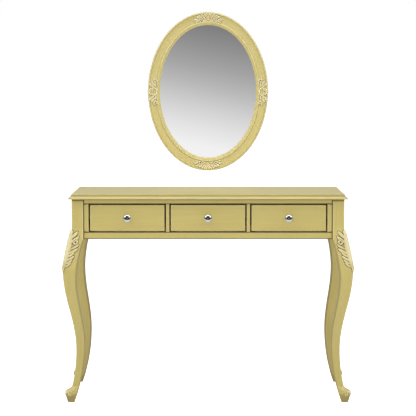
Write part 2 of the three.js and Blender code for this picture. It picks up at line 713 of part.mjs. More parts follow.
// A raised ornament along the band of the frame, centred on the given angle.
function crest(name, angle, arcRadius) {
  const segmentAngle = Math.PI * 2 / OVAL_SEGMENTS;
  const halfCount = Math.max(2, Math.round(CREST_LENGTH / 2 / (arcRadius * segmentAngle)));
  const middleT = (bandOuter.t + bandInner.t) / 2;
  const sections = [];
  for (let k = -halfCount; k <= halfCount; k += 1) {
    const here = angle + k * segmentAngle;
    const fullness = Math.cos((k / halfCount) * Math.PI / 2);
    const halfT = THREE.MathUtils.lerp(CREST_TIP_WIDTH, crestWidth, fullness) / 2 / MOULDING_SIDE_WIDTH;
    const rise = CREST_HEIGHT * THREE.MathUtils.lerp(CREST_END_RISE, 1, fullness);
    const seat = (t) => {
      const share = (t - bandInner.t) / (bandOuter.t - bandInner.t);
      return THREE.MathUtils.lerp(bandInner.depth, bandOuter.depth, share) + CREST_SEAT_GAP;
    };
    const crown = CREST_CROWN_SHARE;
    const across = [[-1, 0], [1, 0], [1, 1 - crown], [crown, 1], [-crown, 1], [-1, 1 - crown]];
    const points = across.map(([u, lift]) => {
      const t = middleT + u * halfT;
      return ovalPoint(t, seat(t) + lift * rise, here);
    });
    sections.push({ points, hub: ovalPoint(middleT, seat(middleT) + rise / 2, here) });
  }
  return piece(name, loft(sections), 'framePaint');
}

// A Z-shaped bar as a path of [distance from the wall, height] points, given its metal thickness.
function hangerBar(name, plateDepth, lipDepth, bendZ, plateDirection) {
  const plateEnd = bendZ + plateDirection * BAR_PLATE_HEIGHT;
  const lipEnd = bendZ - plateDirection * BAR_LIP_HEIGHT;
  const plateIn = Math.min(plateDepth, lipDepth);
  const plateOut = Math.max(plateDepth, lipDepth) + BAR_METAL;
  const plateIsOuter = plateDepth > lipDepth;
  const bend = bendZ - plateDirection * BAR_METAL;
  const outerZ = plateIsOuter ? plateEnd : lipEnd;
  const innerZ = plateIsOuter ? lipEnd : plateEnd;
  const outerBend = plateIsOuter ? bend : bendZ;
  const innerBend = plateIsOuter ? bendZ : bend;
  const points = [
    [plateOut, outerZ], [plateOut, outerBend],
    [plateIn + BAR_METAL, outerBend], [plateIn + BAR_METAL, innerZ],
    [plateIn, innerZ], [plateIn, innerBend],
    [plateOut - BAR_METAL, innerBend], [plateOut - BAR_METAL, outerZ],
  ];
  const shape = outline(points.map(([depth, z]) => [wallY - depth, z]));
  return piece(name, extrudeAlongX(shape, -BAR_LENGTH / 2, BAR_LENGTH / 2), 'steel');
}

function bumper(name, x) {
  const depth = frameStandOff - JOINT_GAP;
  const radius = BUMPER_DIAMETER / 2;
  const geometry = new THREE.CylinderGeometry(radius, radius, depth, BUMPER_SEGMENTS);
  geometry.translate(x, wallY - depth / 2, mirrorCentreZ - BUMPER_DROP);
  return piece(name, geometry, 'felt');
}

function mirror() {
  const group = new THREE.Group();
  const glassBack = rebateFace - JOINT_GAP - GLASS_THICKNESS;
  const backingFront = glassBack - JOINT_GAP;
  const wallLipTop = mirrorCentreZ + BAR_HEIGHT_ABOVE_CENTRE;
  const mirrorPlateDepth = frameStandOff - JOINT_GAP - BAR_METAL;
  const mirrorBend = wallLipTop + JOINT_GAP + BAR_METAL;
  group.add(
    mirrorFrame(),
    ovalPanel('mirror_glass', glassBack, glassBack + GLASS_THICKNESS, 'silvering'),
    ovalPanel('mirror_backing', backingFront - BACKING_THICKNESS, backingFront, 'hardboard'),
    crest('mirror_crest_right', 0, MIRROR_HEIGHT / 2),
    crest('mirror_crest_top', Math.PI / 2, MIRROR_WIDTH / 2),
    crest('mirror_crest_left', Math.PI, MIRROR_HEIGHT / 2),
    crest('mirror_crest_bottom', Math.PI * 1.5, MIRROR_WIDTH / 2),
    hangerBar('mirror_hanger_bar', mirrorPlateDepth, BAR_LIP_CLEARANCE, mirrorBend, 1),
    bumper('mirror_bumper_left', -BUMPER_SPACING / 2),
    bumper('mirror_bumper_right', BUMPER_SPACING / 2),
  );
  return group;
}

function wallHanger() {
  const lipTop = mirrorCentreZ + BAR_HEIGHT_ABOVE_CENTRE;
  return hangerBar('wall_hanger_bar', 0, barSlot, lipTop - BAR_LIP_HEIGHT, -1);
}

// ---------- Assembly ----------

function table() {
  const group = new THREE.Group();
  group.add(tableTop(), ...faceFrame(), ...aprons(), ...runners(), ...cornerPieces());
  return group;
}

const assembly = new THREE.Group();
assembly.add(
  table(),
  drawer('drawer_left', -drawerPitch),
  drawer('drawer_centre', 0),
  drawer('drawer_right', drawerPitch),
  mirror(),
  wallHanger(),
);

// The front knee leaves and the wall are the front and the back of the outline.
const outlineFrontY = -caseHalfDepth - KNEE_REACH - LEAF_THICKNESS - JOINT_GAP;
assembly.position.y = -(outlineFrontY + wallY) / 2;

export default assembly;
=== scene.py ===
"""Dressing table on cabriole legs with an oval wall mirror: the looks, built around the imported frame."""
import math

import bmesh
import bpy
import numpy as np
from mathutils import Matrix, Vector


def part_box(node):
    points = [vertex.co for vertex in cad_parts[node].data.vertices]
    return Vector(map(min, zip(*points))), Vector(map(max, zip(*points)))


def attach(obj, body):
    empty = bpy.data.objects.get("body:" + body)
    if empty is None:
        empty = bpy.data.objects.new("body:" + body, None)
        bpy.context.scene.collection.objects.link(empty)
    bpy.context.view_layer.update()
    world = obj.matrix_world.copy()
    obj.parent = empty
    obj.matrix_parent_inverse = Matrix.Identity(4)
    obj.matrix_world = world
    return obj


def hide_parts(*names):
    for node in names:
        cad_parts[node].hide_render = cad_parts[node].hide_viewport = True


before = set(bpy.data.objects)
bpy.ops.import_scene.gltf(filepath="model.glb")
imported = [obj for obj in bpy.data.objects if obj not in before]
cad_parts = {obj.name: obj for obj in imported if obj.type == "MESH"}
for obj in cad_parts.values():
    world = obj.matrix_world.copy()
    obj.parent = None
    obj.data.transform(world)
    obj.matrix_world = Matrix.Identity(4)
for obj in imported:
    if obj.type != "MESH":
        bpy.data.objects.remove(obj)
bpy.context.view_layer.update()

MM = 0.001
QUARTER = math.pi / 2
CORNERS = [f"{end}_{side}" for end in ("front", "rear") for side in ("left", "right")]

# Carving of the knee, in millimetres: across from the outer corner, up from the leaf's lower tip
LEAF_LOBES = [
    # root, tip, half width
    ((7, 20), (25, 36), 4.0),
    ((8, 31), (29, 46), 4.2),
    ((8, 43), (33, 59), 4.8),
    ((8, 56), (31, 71), 4.4),
    ((9, 68), (41, 86), 5.4),
    ((16, 84), (41, 101), 4.4),
    ((6, 107), (35, 129), 5.8),
    ((4, 121), (25, 147), 6.0),
    ((0, 125), (1, 152), 6.5),
]
LEAF_LENGTH = 153.0
LEAF_EYE, LEAF_EYE_RADIUS = (27, 108), 8.5
LEAF_HEIGHT = 4.6

# Thickness of the ground left round every carving, and a height that means no carving, in millimetres
GROUND = 0.15
BARE = -1.0

# Width of the mirror's moulding at the sides and at the top and bottom
MOULDING_SIDE = 45 * MM
MOULDING_END = 49.5 * MM

# The values that the materials read from the meshes: "carve" is 0 where shade is painted (some glaze in
# carved hollows, painted shade in corners, seams and under the top) and 1 where a highlight is painted on
# ridges
HOLLOW, PLAIN = 0.0, 0.5


# ---------- Small helpers ----------

def in_scene(name, data):
    """A new object for the mesh, lamp or camera, linked to the scene."""
    thing = bpy.data.objects.new(name, data)
    bpy.context.scene.collection.objects.link(thing)
    return thing


def add_piece(name, mesh, finish, body, node=None, crisp=35):
    """Shades a mesh and puts it in the scene, riding on its body, in place of the CAD node if there is one.

    Edges sharper than the crisp angle stay crisp."""
    mesh.shade_smooth()
    mesh.set_sharp_from_angle(angle=math.radians(crisp))
    mesh.materials.clear()
    mesh.materials.append(FINISH[finish])
    piece = in_scene(name, mesh)
    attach(piece, body)
    if node:
        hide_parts(node)


def measures(node):
    """Corners, middle and half sizes of a CAD node's box."""
    low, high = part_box(node)
    return low, high, (low + high) / 2, (high - low) / 2


def mesh_of(name, points, faces, edges=()):
    mesh = bpy.data.meshes.new(name)
    mesh.from_pydata([tuple(p) for p in points], edges, faces)
    mesh.update()
    return mesh


def skinned(name, points, sides):
    """A mesh over a stack of rings with that many points each, with end caps."""
    count = len(points) // sides
    faces = []
    for here in range(0, (count - 1) * sides, sides):
        for side in range(sides):
            after = (side + 1) % sides
            faces.append((here + side, here + after, here + sides + after, here + sides + side))
    faces.append(tuple(reversed(range(sides))))
    faces.append(tuple(range((count - 1) * sides, count * sides)))
    return mesh_of(name, points, faces)


def outward(mesh, merge=True):
    """Turns every face of a closed shell outwards, without loose points and, if asked, without doubles."""
    work = bmesh.new()
    work.from_mesh(mesh)
    if merge:
        bmesh.ops.remove_doubles(work, verts=work.verts, dist=1e-6)
    bmesh.ops.delete(work, geom=[v for v in work.verts if not v.link_faces], context="VERTS")
    bmesh.ops.recalc_face_normals(work, faces=work.faces)
    work.to_mesh(mesh)
    work.free()


def paint_points(mesh, **numbers):
    """Stores named numbers, one per vertex, for the materials and the node trees to read."""
    for name, values in numbers.items():
        attribute = mesh.attributes.new(name, "FLOAT", "POINT")
        attribute.data.foreach_set("value", np.asarray(values, dtype=np.float32))


def flowing(heights, values, at):
    """A smooth line through the values that never swings past them."""
    step = np.diff(heights)
    rise = np.diff(values) / step
    slope = np.zeros_like(values)
    slope[0], slope[-1] = rise[0], rise[-1]
    product = rise[:-1] * rise[1:]
    total = np.where(product > 0, rise[:-1] + rise[1:], 1)
    slope[1:-1] = np.where(product > 0, 2 * product / total, 0)
    k = np.clip(np.searchsorted(heights, at, side="right") - 1, 0, len(step) - 1)
    t = (at - heights[k]) / step[k]
    return ((1 + 2 * t) * (1 - t) ** 2 * values[k] + t * (1 - t) ** 2 * step[k] * slope[k]
            + t ** 2 * (3 - 2 * t) * values[k + 1] + t ** 2 * (t - 1) * step[k] * slope[k + 1])


def softened(field, passes):
    """A height field blurred a little in both directions."""
    for _ in range(passes):
        for axis in (0, 1):
            field = (np.roll(field, 1, axis) + 2 * field + np.roll(field, -1, axis)) / 4
    return field


def spread(field, steps):
    """Each place takes the highest value within that many steps of it."""
    for _ in range(steps):
        for axis in (0, 1):
            field = np.maximum(field, np.maximum(np.roll(field, 1, axis), np.roll(field, -1, axis)))
    return field


# ---------- Node helpers ----------

def grey(value):
    return (value, value, value, 1)


class Nodes:
    """A short way to add and join nodes in one tree."""

    def __init__(self, tree):
        self.tree = tree

    def add(self, kind, settings=None, **inputs):
        """A node with its inputs given by name, with _ for a space."""
        node = self.tree.nodes.new(kind)
        for key, value in (settings or {}).items():
            setattr(node, key, value)
        for key, value in inputs.items():
            self.join(value, node.inputs[key.replace("_", " ")])
        return node

    def put(self, kind, *sources, **settings):
        """The first output of a node with its inputs given in order."""
        node = self.add(kind, settings)
        for source, socket in zip(sources, node.inputs):
            self.join(source, socket)
        return node.outputs[0]

    def join(self, source, socket):
        if isinstance(source, bpy.types.NodeSocket):
            self.tree.links.new(source, socket)
        else:
            socket.default_value = source

    def math(self, operation, first, second=0.5, clamp=False):
        return self.put("ShaderNodeMath", first, second, operation=operation, use_clamp=clamp)

    def times(self, first, second, clamp=False):
        return self.math("MULTIPLY", first, second, clamp)

    def total(self, start, *terms, clamp=False):
        """The start value plus each term times its weight."""
        for value, weight in terms:
            start = self.math("ADD", start, self.times(value, weight), clamp)
        return start

    def mix(self, factor, first, second):
        """A blend of two colours."""
        node = self.add("ShaderNodeMix", {"data_type": "RGBA"})
        for value, place in ((factor, 0), (first, 6), (second, 7)):
            self.join(value, node.inputs[place])
        return node.outputs[2]

    def ramp(self, value, *stops):
        """A colour ramp; a stop is its place and a colour, or a number for a grey."""
        node = self.add("ShaderNodeValToRGB", Fac=value)
        elements = node.color_ramp.elements
        while len(elements) < len(stops):
            elements.new(0.5)
        for element, (place, colour) in zip(elements, stops):
            element.position = place
            element.color = (*colour, 1) if isinstance(colour, tuple) else grey(colour)
        return node.outputs[0]

    def span(self, value, low, high):
        """0 at the low value and 1 at the high one."""
        return self.add("ShaderNodeMapRange", Value=value, From_Min=low, From_Max=high,
                        To_Min=0.0, To_Max=1.0).outputs[0]

    def stretch(self, place, scale):
        return self.add("ShaderNodeMapping", Vector=place, Scale=scale).outputs[0]

    def noise(self, place, scale, detail, roughness=0.5):
        """Noise over the place, stretched if the scale has three numbers."""
        if isinstance(scale, tuple):
            place, scale = self.stretch(place, scale), 1.0
        return self.add("ShaderNodeTexNoise", Vector=place, Scale=scale, Detail=detail,
                        Roughness=roughness).outputs[0]

    def object_place(self, turn):
        """Object coordinates turned so that the long grain follows the piece's length."""
        place = self.add("ShaderNodeTexCoord").outputs["Object"]
        return self.add("ShaderNodeMapping", Vector=place, Rotation=turn).outputs[0]

    def painted(self, name):
        """The numbers painted on the mesh under that name."""
        return self.add("ShaderNodeAttribute", {"attribute_name": name}).outputs["Fac"]

    def group(self, key, **inputs):
        """The outputs of a shared shader group."""
        return self.add("ShaderNodeGroup", {"node_tree": GROUPS[key]}, **inputs).outputs


def clean_tree(owner):
    """Node helper of a material or world whose tree has been emptied."""
    owner.use_nodes = True
    owner.node_tree.nodes.clear()
    return Nodes(owner.node_tree)


# ---------- Shader groups ----------

COLOURS = ("Colour", "Shadow Colour", "Base", "Glaze", "Ridge", "Light", "Dark")
SOCKET_KINDS = {"Place": "NodeSocketVector", **{label: "NodeSocketColor" for label in COLOURS}}


def shader_group(name, inputs, outputs, build):
    """A group whose build function gets the node helper and the inputs, and returns the outputs."""
    group = bpy.data.node_groups.new(name, "ShaderNodeTree")
    for way, labels in (("INPUT", inputs), ("OUTPUT", outputs)):
        for label in labels:
            kind = SOCKET_KINDS.get(label, "NodeSocketFloat")
            group.interface.new_socket(label, in_out=way, socket_type=kind)
    nodes = Nodes(group)
    given = nodes.add("NodeGroupInput").outputs
    result = nodes.add("NodeGroupOutput")
    for value, socket in zip(build(nodes, given), result.inputs):
        nodes.join(value, socket)
    return group


def brushed_lacquer(nodes, given):
    """Sprayed and brushed lacquer: long faint streaks, soft cloudiness and a fine orange peel."""
    place = given["Place"]
    streak = nodes.noise(place, (5, 260, 260), 3.0, 0.6)
    broad = nodes.noise(place, (3, 70, 70), 2.0)
    cloud = nodes.noise(place, 7.0, 3.0, 0.55)
    peel = nodes.noise(place, 380.0, 1.0)
    fine = nodes.ramp(streak, (0.36, 0), (0.64, 1))
    wide = nodes.ramp(broad, (0.38, 0), (0.62, 1))
    all_streaks = nodes.total(0.0, (fine, 0.5), (wide, 0.35), (cloud, 0.3))
    amount = nodes.times(all_streaks, given["Streaks"], clamp=True)
    colour = nodes.mix(amount, given["Colour"], given["Shadow Colour"])
    rough = nodes.total(given["Roughness"], (fine, 0.07), (cloud, 0.08), clamp=True)
    return colour, rough, nodes.total(0.0, (streak, 0.85), (peel, 0.15))


def rubbed_and_highlit_edges(nodes, given):
    """Lacquer rubbed thin along the arrises together with a painted highlight where they catch the light: a
    broken mask from the painted edge values.
    """
    broken = nodes.ramp(nodes.noise(given["Place"], 60.0, 4.0), (0.3, 0.35), (0.65, 1))
    shaped = nodes.math("POWER", nodes.painted("edge"), 1.6)
    return [nodes.times(nodes.times(shaped, broken), given["Amount"], clamp=True)]


def glaze_shade_and_highlight(nodes, given):
    """Painted shade where the carve value is low (some glaze in carved hollows, painted shade in corners,
    seams and under ledges) and a painted highlight where it is high.
    """
    carve = nodes.painted("carve")
    hollow = nodes.ramp(carve, (HOLLOW, 1), (PLAIN, 0))
    ridge = nodes.ramp(carve, (PLAIN, 0), (0.95, 1))
    low = nodes.mix(nodes.times(hollow, given["Glaze Amount"], clamp=True), given["Base"], given["Glaze"])
    high = nodes.mix(nodes.times(ridge, given["Ridge Amount"], clamp=True), low, given["Ridge"])
    return high, hollow


def wood_grain(nodes, given):
    """Straight-grained sanded wood: growth lines, pores and a slow change of tone along the board."""
    sweep = nodes.stretch(given["Place"], (0.6, 5.0, 5.0))
    wander = nodes.add("ShaderNodeTexNoise", Vector=sweep, Scale=2.0, Detail=2.0).outputs["Color"]
    shifted = nodes.put("ShaderNodeVectorMath", sweep, wander, operation="ADD")
    rings = nodes.add("ShaderNodeTexWave", {"bands_direction": "Y"}, Vector=shifted,
                      Scale=2.2, Distortion=3.0, Detail=2.0).outputs["Fac"]
    pores = nodes.noise(given["Place"], (30, 900, 900), 2.0)
    grain = nodes.times(rings, 0.55)
    dots = nodes.ramp(pores, (0.4, 1), (0.55, 0))
    colour = nodes.mix(nodes.total(grain, (dots, 0.35), clamp=True), given["Light"], given["Dark"])
    return colour, nodes.total(0.55, (dots, 0.2)), nodes.total(grain, (dots, -0.6))


GROUPS = {
    "lacquer": shader_group("Brushed lacquer", ["Place", "Colour", "Shadow Colour", "Streaks", "Roughness"],
                            ["Colour", "Roughness", "Height"], brushed_lacquer),
    "edges": shader_group("Rubbed and highlit edges", ["Place", "Amount"], ["Mask"], rubbed_and_highlit_edges),
    "glaze": shader_group("Glaze, painted shade and highlight", ["Base", "Glaze", "Ridge", "Glaze Amount", "Ridge Amount"],
                          ["Colour", "Hollow"], glaze_shade_and_highlight),
    "wood": shader_group("Wood grain", ["Place", "Light", "Dark"], ["Colour", "Roughness", "Height"],
                         wood_grain),
}


# ---------- Materials ----------

GRAIN_X = (0, 0, 0)
GRAIN_Y = (0, 0, QUARTER)
GRAIN_Z = (0, QUARTER, 0)

# Lacquer colours: each with the deeper tone of its streaks
GOLD = (0.62, 0.515, 0.178, 1), (0.52, 0.425, 0.128, 1)
# The top's gold is the same paint made lighter, a painted sheen for the light that the top catches
GOLD_TOP_LIT = (0.73, 0.625, 0.255, 1), (0.63, 0.53, 0.195, 1)
GOLD_FRAME = (0.67, 0.572, 0.238, 1), (0.585, 0.49, 0.18, 1)
GOLD_LIGHT = (0.70, 0.60, 0.26, 1), (0.67, 0.57, 0.22, 1)
# Painted light: the pale gold on arrises is rubbed paint and painted highlight, the ivory is a painted
# highlight on ridges, and the glazes are painted shade (the darkest in seams and under the top, the pale
# one in the mirror moulding's hollows) with some glaze in carved hollows
GOLD_PALE = (0.80, 0.72, 0.38, 1)
IVORY_HIGHLIGHT = (0.93, 0.87, 0.62, 1)
GLAZE_AND_SHADE = (0.19, 0.13, 0.032, 1)
PALE_MOULDING_SHADE = (0.36, 0.275, 0.075, 1)
DARK_SEAM_SHADE = (0.05, 0.034, 0.010, 1)


def surface(name, nodes_of):
    """A material whose function returns the Principled inputs and the bump's height, depth and strength."""
    material = bpy.data.materials.new(name)
    nodes = clean_tree(material)
    inputs, bump = nodes_of(nodes)
    shader = nodes.add("ShaderNodeBsdfPrincipled", **inputs)
    if bump:
        height, distance, strength = bump
        raised = nodes.add("ShaderNodeBump", Strength=strength, Distance=distance, Height=height)
        nodes.join(raised.outputs[0], shader.inputs["Normal"])
    nodes.add("ShaderNodeOutputMaterial", Surface=shader.outputs[0])
    return material


def lacquer(name, turn=GRAIN_X, gold=GOLD, streaks=0.55, roughness=0.36, from_uv=False, edge_amount=0.5,
            carved=True, glaze=GLAZE_AND_SHADE, glaze_amount=0.85, ridge_amount=0.55):
    """Satin champagne-gold lacquer, with streaks along the piece, pale edges of rubbed paint and painted
    highlight, and painted shade and highlight from the carve values.
    """
    def looks(nodes):
        if from_uv:
            place = nodes.add("ShaderNodeUVMap", {"uv_map": "length"}).outputs[0]
        else:
            place = nodes.object_place(turn)
        coat = nodes.group("lacquer", Place=place, Colour=gold[0], Shadow_Colour=gold[1], Streaks=streaks,
                           Roughness=roughness)
        edges = nodes.group("edges", Place=place, Amount=edge_amount)
        # Pale edges: rubbed paint and a painted highlight along the arrises
        colour = nodes.mix(edges["Mask"], coat["Colour"], GOLD_PALE)
        rough = coat["Roughness"]
        if carved:
            glazed = nodes.group("glaze", Base=colour, Glaze=glaze, Ridge=IVORY_HIGHLIGHT, Glaze_Amount=glaze_amount,
                                 Ridge_Amount=ridge_amount)
            colour = glazed["Colour"]
            rough = nodes.total(rough, (glazed["Hollow"], 0.25), clamp=True)
        return dict(Base_Color=colour, Roughness=rough, Specular_IOR_Level=0.5, Coat_Roughness=0.22,
                    Coat_Weight=0.18), (coat["Height"], 0.00012, 0.3)
    return surface("gold_lacquer_" + name, looks)


def wood(name, turn, light=(0.62, 0.44, 0.25, 1), dark=(0.38, 0.22, 0.10, 1)):
    """Plain sanded wood of the parts that don't show."""
    def looks(nodes):
        grain = nodes.group("wood", Place=nodes.object_place(turn), Light=light, Dark=dark)
        bump = grain["Height"], 0.0004, 0.3
        return dict(Base_Color=grain["Colour"], Roughness=grain["Roughness"]), bump
    return surface(name, looks)


def metal(name, colour, roughness, brush_scale, brush_amount):
    """Bare metal whose roughness changes along fine brush lines."""
    def looks(nodes):
        place = nodes.object_place(GRAIN_X)
        lines = nodes.noise(place, (8, brush_scale, brush_scale), 3.0)
        smudge = nodes.noise(place, 90.0, 3.0)
        varied = nodes.total(roughness, (lines, brush_amount), (smudge, brush_amount * 0.5), clamp=True)
        tint = nodes.mix(smudge, colour, tuple(c * 0.93 for c in colour[:3]) + (1,))
        return dict(Base_Color=tint, Roughness=varied, Metallic=1.0), (lines, 0.0001, 0.15)
    return surface(name, looks)


def silvered_glass(nodes):
    """Mirror glass: silvering seen through clean glass, with a trace of dust."""
    specks = nodes.ramp(nodes.noise(nodes.object_place(GRAIN_X), 14.0, 6.0), (0.55, 0.0), (0.85, 0.035))
    tint = nodes.mix(specks, grey(0.905), grey(0.865))
    return dict(Base_Color=tint, Roughness=nodes.math("ADD", 0.004, specks), Metallic=1.0), None


def hardboard(nodes):
    """Brown hardboard: pressed fibres with a mottled face."""
    place = nodes.object_place(GRAIN_X)
    fibres, mottle = nodes.noise(place, 420.0, 6.0, 0.7), nodes.noise(place, 18.0, 3.0)
    colour = nodes.ramp(nodes.total(0.0, (fibres, 0.6), (mottle, 0.4)),
                        (0.35, (0.16, 0.09, 0.045)), (0.65, (0.33, 0.2, 0.105)))
    return dict(Base_Color=colour, Roughness=nodes.total(0.6, (mottle, 0.3))), (fibres, 0.0003, 0.6)


def felt(nodes):
    """Dark felt of the wall pads."""
    fuzz = nodes.noise(nodes.object_place(GRAIN_X), 2600.0, 4.0)
    colour = nodes.ramp(fuzz, (0.3, (0.03, 0.027, 0.024)), (0.7, (0.12, 0.11, 0.1)))
    rough = nodes.total(0.8, (fuzz, 0.2))
    return dict(Base_Color=colour, Roughness=rough, Sheen_Weight=0.4), (fuzz, 0.0006, 0.8)


# Painted shade in the corners where the rails and stiles meet the leg blocks and the top
SHADED_SEAMS = dict(edge_amount=0.25, glaze=DARK_SEAM_SHADE, glaze_amount=1.0)

# Every finish, grouped under a slot name
SLOTS = {
    "champagne_paint": {
        "along_x": lacquer("along_x", GRAIN_X, carved=False),
        "along_y": lacquer("along_y", GRAIN_Y, carved=False),
        "along_z": lacquer("along_z", GRAIN_Z, carved=False),
        "rail": lacquer("rail", GRAIN_X, **SHADED_SEAMS),
        "stile": lacquer("stile", GRAIN_Z, **SHADED_SEAMS),
        "top": lacquer("top", GRAIN_X, GOLD_TOP_LIT, edge_amount=0.08, glaze_amount=0.55),
        "leg": lacquer("leg", GRAIN_Z, edge_amount=0.2),
    },
    "leaf_paint": {
        "leaf": lacquer("leaf", GRAIN_Z, GOLD, streaks=0.35, roughness=0.30, glaze_amount=0.95,
                        ridge_amount=0.75),
    },
    "frame_paint": {
        "moulding": lacquer("moulding", GRAIN_X, GOLD_FRAME, streaks=0.7, roughness=0.33, from_uv=True,
                            edge_amount=0.6, glaze=PALE_MOULDING_SHADE),
        "crest": lacquer("crest", GRAIN_X, GOLD_LIGHT, streaks=0.35, roughness=0.28, glaze_amount=0.75,
                         ridge_amount=1.0),
    },
    "raw_wood": {
        "wood_x": wood("plain_wood_along_x", GRAIN_X),
        "wood_y": wood("plain_wood_along_y", GRAIN_Y),
        "ply": wood("drawer_bottom_ply", GRAIN_X, (0.70, 0.54, 0.34, 1), (0.50, 0.34, 0.18, 1)),
    },
    "chrome": {"chrome": metal("polished_chrome", (0.88, 0.89, 0.91, 1), 0.03, 400, 0.03)},
    "steel": {"steel": metal("zinc_plated_steel", (0.62, 0.63, 0.64, 1), 0.28, 700, 0.2)},
    "silvering": {"glass": surface("silvered_glass", silvered_glass)},
    "hardboard": {"hardboard": surface("hardboard", hardboard)},
    "felt": {"felt": surface("felt", felt)},
}
FINISH = {finish: material for finishes in SLOTS.values() for finish, material in finishes.items()}


# ---------- Boards with eased arrises ----------

SEAM_WIDTH = 2.5 * MM


def eased_board(name, node, body, finish, ease=0.9, fade=4.5, seams=""):
    """A board made from its CAD solid, with rounded arrises and edge values that fade inwards, for rubbed
    paint and a painted highlight along the arrises.

    Seams names the sides where painted shade darkens the corner with the next piece."""
    work = bmesh.new()
    work.from_mesh(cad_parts[node].data)
    bmesh.ops.remove_doubles(work, verts=work.verts, dist=1e-6)
    bmesh.ops.dissolve_limit(work, angle_limit=math.radians(1), verts=work.verts, edges=work.edges)
    crisp = [e for e in work.edges if len(e.link_faces) == 2 and e.calc_face_angle() > math.radians(40)]
    bmesh.ops.bevel(work, geom=crisp, offset=ease * MM, segments=3, profile=0.5, affect="EDGES",
                    clamp_overlap=True)
    bmesh.ops.recalc_face_normals(work, faces=work.faces)
    wide = [f for f in work.faces if min_side(f) > 2.2 * fade * MM]
    bmesh.ops.inset_individual(work, faces=wide, thickness=fade * MM)
    mesh = bpy.data.meshes.new(name)
    work.verts.index_update()
    kept = {v.index for f in wide for v in f.verts}
    work.to_mesh(mesh)
    work.free()
    paint_points(mesh, edge=[0.0 if k in kept else 1.0 for k in range(len(mesh.vertices))])
    if seams:
        low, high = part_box(node)
        gaps = {"left": lambda p: p.x - low.x, "right": lambda p: high.x - p.x,
                "top": lambda p: high.z - p.z}
        in_seam = [any(gaps[side](v.co) < SEAM_WIDTH for side in seams.split()) for v in mesh.vertices]
        paint_points(mesh, carve=np.where(in_seam, HOLLOW, PLAIN))
    add_piece(name, mesh, finish, body, node)


def min_side(face):
    """Shorter side of the face's own box, across its plane."""
    spans = [max(v.co[k] for v in face.verts) - min(v.co[k] for v in face.verts) for k in range(3)]
    return sorted(spans)[1]


def rounded_rectangle(half_x, half_y, radius, middle, z, per_corner=5):
    points = []
    for turn, (sx, sy) in enumerate(((1, 1), (-1, 1), (-1, -1), (1, -1))):
        for k in range(per_corner):
            angle = (turn + k / (per_corner - 1)) * QUARTER
            x = middle[0] + sx * (half_x - radius) + radius * math.cos(angle)
            y = middle[1] + sy * (half_y - radius) + radius * math.sin(angle)
            points.append((x, y, z))
    return points


def drawer_face(name, node, body):
    """A drawer front: a block with rounded arrises, and a painted highlight on the rounding and in a narrow
    paler line just inside it.
    """
    ease, lip, corner_radius, per_corner = 2.2 * MM, 1.2 * MM, 1.2 * MM, 4
    low, high, middle, half = measures(node)
    depth = high.y - low.y
    rows = [(ease, depth), (ease * 0.3, depth - ease * 0.3), (0, depth - ease)]
    for k in range(7):
        angle = k / 6 * QUARTER
        rows.append((ease * (1 - math.cos(angle)), ease * (1 - math.sin(angle))))
    rows += [(ease + lip, 0), (ease + 3 * lip, 0)]
    # Edge values: painted highlight on the rounding and in the line just inside it
    values = [0, 0, 0, 0.2, 0.6, 0.9, 1, 1, 1, 0.8, 0, 0]
    points = []
    for inset, reach in rows:
        ring = rounded_rectangle(half.x - inset, half.z - inset, corner_radius, (middle.x, middle.z), 0,
                                 per_corner)
        points += [(x, low.y + reach, z) for x, z, _ in ring]
    mesh = skinned(name, points, 4 * per_corner)
    paint_points(mesh, edge=np.repeat(values, 4 * per_corner))
    outward(mesh, merge=False)
    add_piece(name, mesh, "along_x", body, node)


def make_case():
    boards = {
        "front_top_rail": ("rail", "left right top"), "front_bottom_rail": ("rail", "left right"),
        "back_apron": ("rail", "left right top"), "end_stile_left": ("stile", "left"),
        "end_stile_right": ("stile", "right"), "divider_stile_left": ("along_z", ""),
        "divider_stile_right": ("along_z", ""), "side_apron_left": ("along_y", ""),
        "side_apron_right": ("along_y", ""),
    }
    for node, (finish, seams) in boards.items():
        eased_board(node + "_board", node, "table", finish, fade=5 if seams else 4.5, seams=seams)
    for side in ("outer_left", "inner_left", "inner_right", "outer_right"):
        eased_board(f"drawer_runner_{side}", f"runner_{side}", "table", "wood_y", 0.8)
    for corner in CORNERS:
        eased_board(f"glued_block_{corner}", f"corner_block_{corner}", "table", "wood_x", 1.0)


def make_drawers():
    for label in ("left", "centre", "right"):
        body = f"drawer_{label}"
        drawer_face(f"{body}_face", f"{body}_front", body)
        eased_board(f"{body}_left_board", f"{body}_side_left", body, "wood_y")
        eased_board(f"{body}_right_board", f"{body}_side_right", body, "wood_y")
        eased_board(f"{body}_back_board", f"{body}_back", body, "wood_x")
        eased_board(f"{body}_floor", f"{body}_bottom", body, "ply", 0.4)
        knob(label, body)
        knob_screw(label, body)


# ---------- Table top ----------

def top_moulding(thickness):
    """Inset, height and edge value down the moulded edge, in millimetres, from the underside up; the edge
    value paints pale lines of highlight and rubbed paint on the arrises.
    """
    nose, fillet_drop, fillet_step, overhang, arris = 3.5, 2, 2, 12.5, 0.7
    cove, cove_top = overhang - fillet_step, thickness - fillet_drop
    rows = [(30, 0, 0), (5, 0, 0), (0.6, 0, 1), (0.15, 0.25, 1), (0, arris, 1),
            (0, nose - 0.8, 0.6), (0.2, nose - 0.2, 1), (arris, nose, 1)]
    for k in range(1, 13):
        angle = k / 12 * QUARTER
        rows.append((arris + (cove - arris) * math.sin(angle),
                     nose + (cove_top - nose) * (1 - math.cos(angle)), 0))
    return rows + [
        (cove + 0.1, cove_top, 0.3), (overhang - 0.5, cove_top + 0.05, 0),
        (overhang - 0.1, cove_top + 0.4, 0.2), (overhang, thickness - 0.9, 0.6),
        (overhang + 0.25, thickness - 0.25, 1), (overhang + 0.9, thickness, 1),
        (overhang + 7, thickness, 0), (overhang + 40, thickness, 0)]


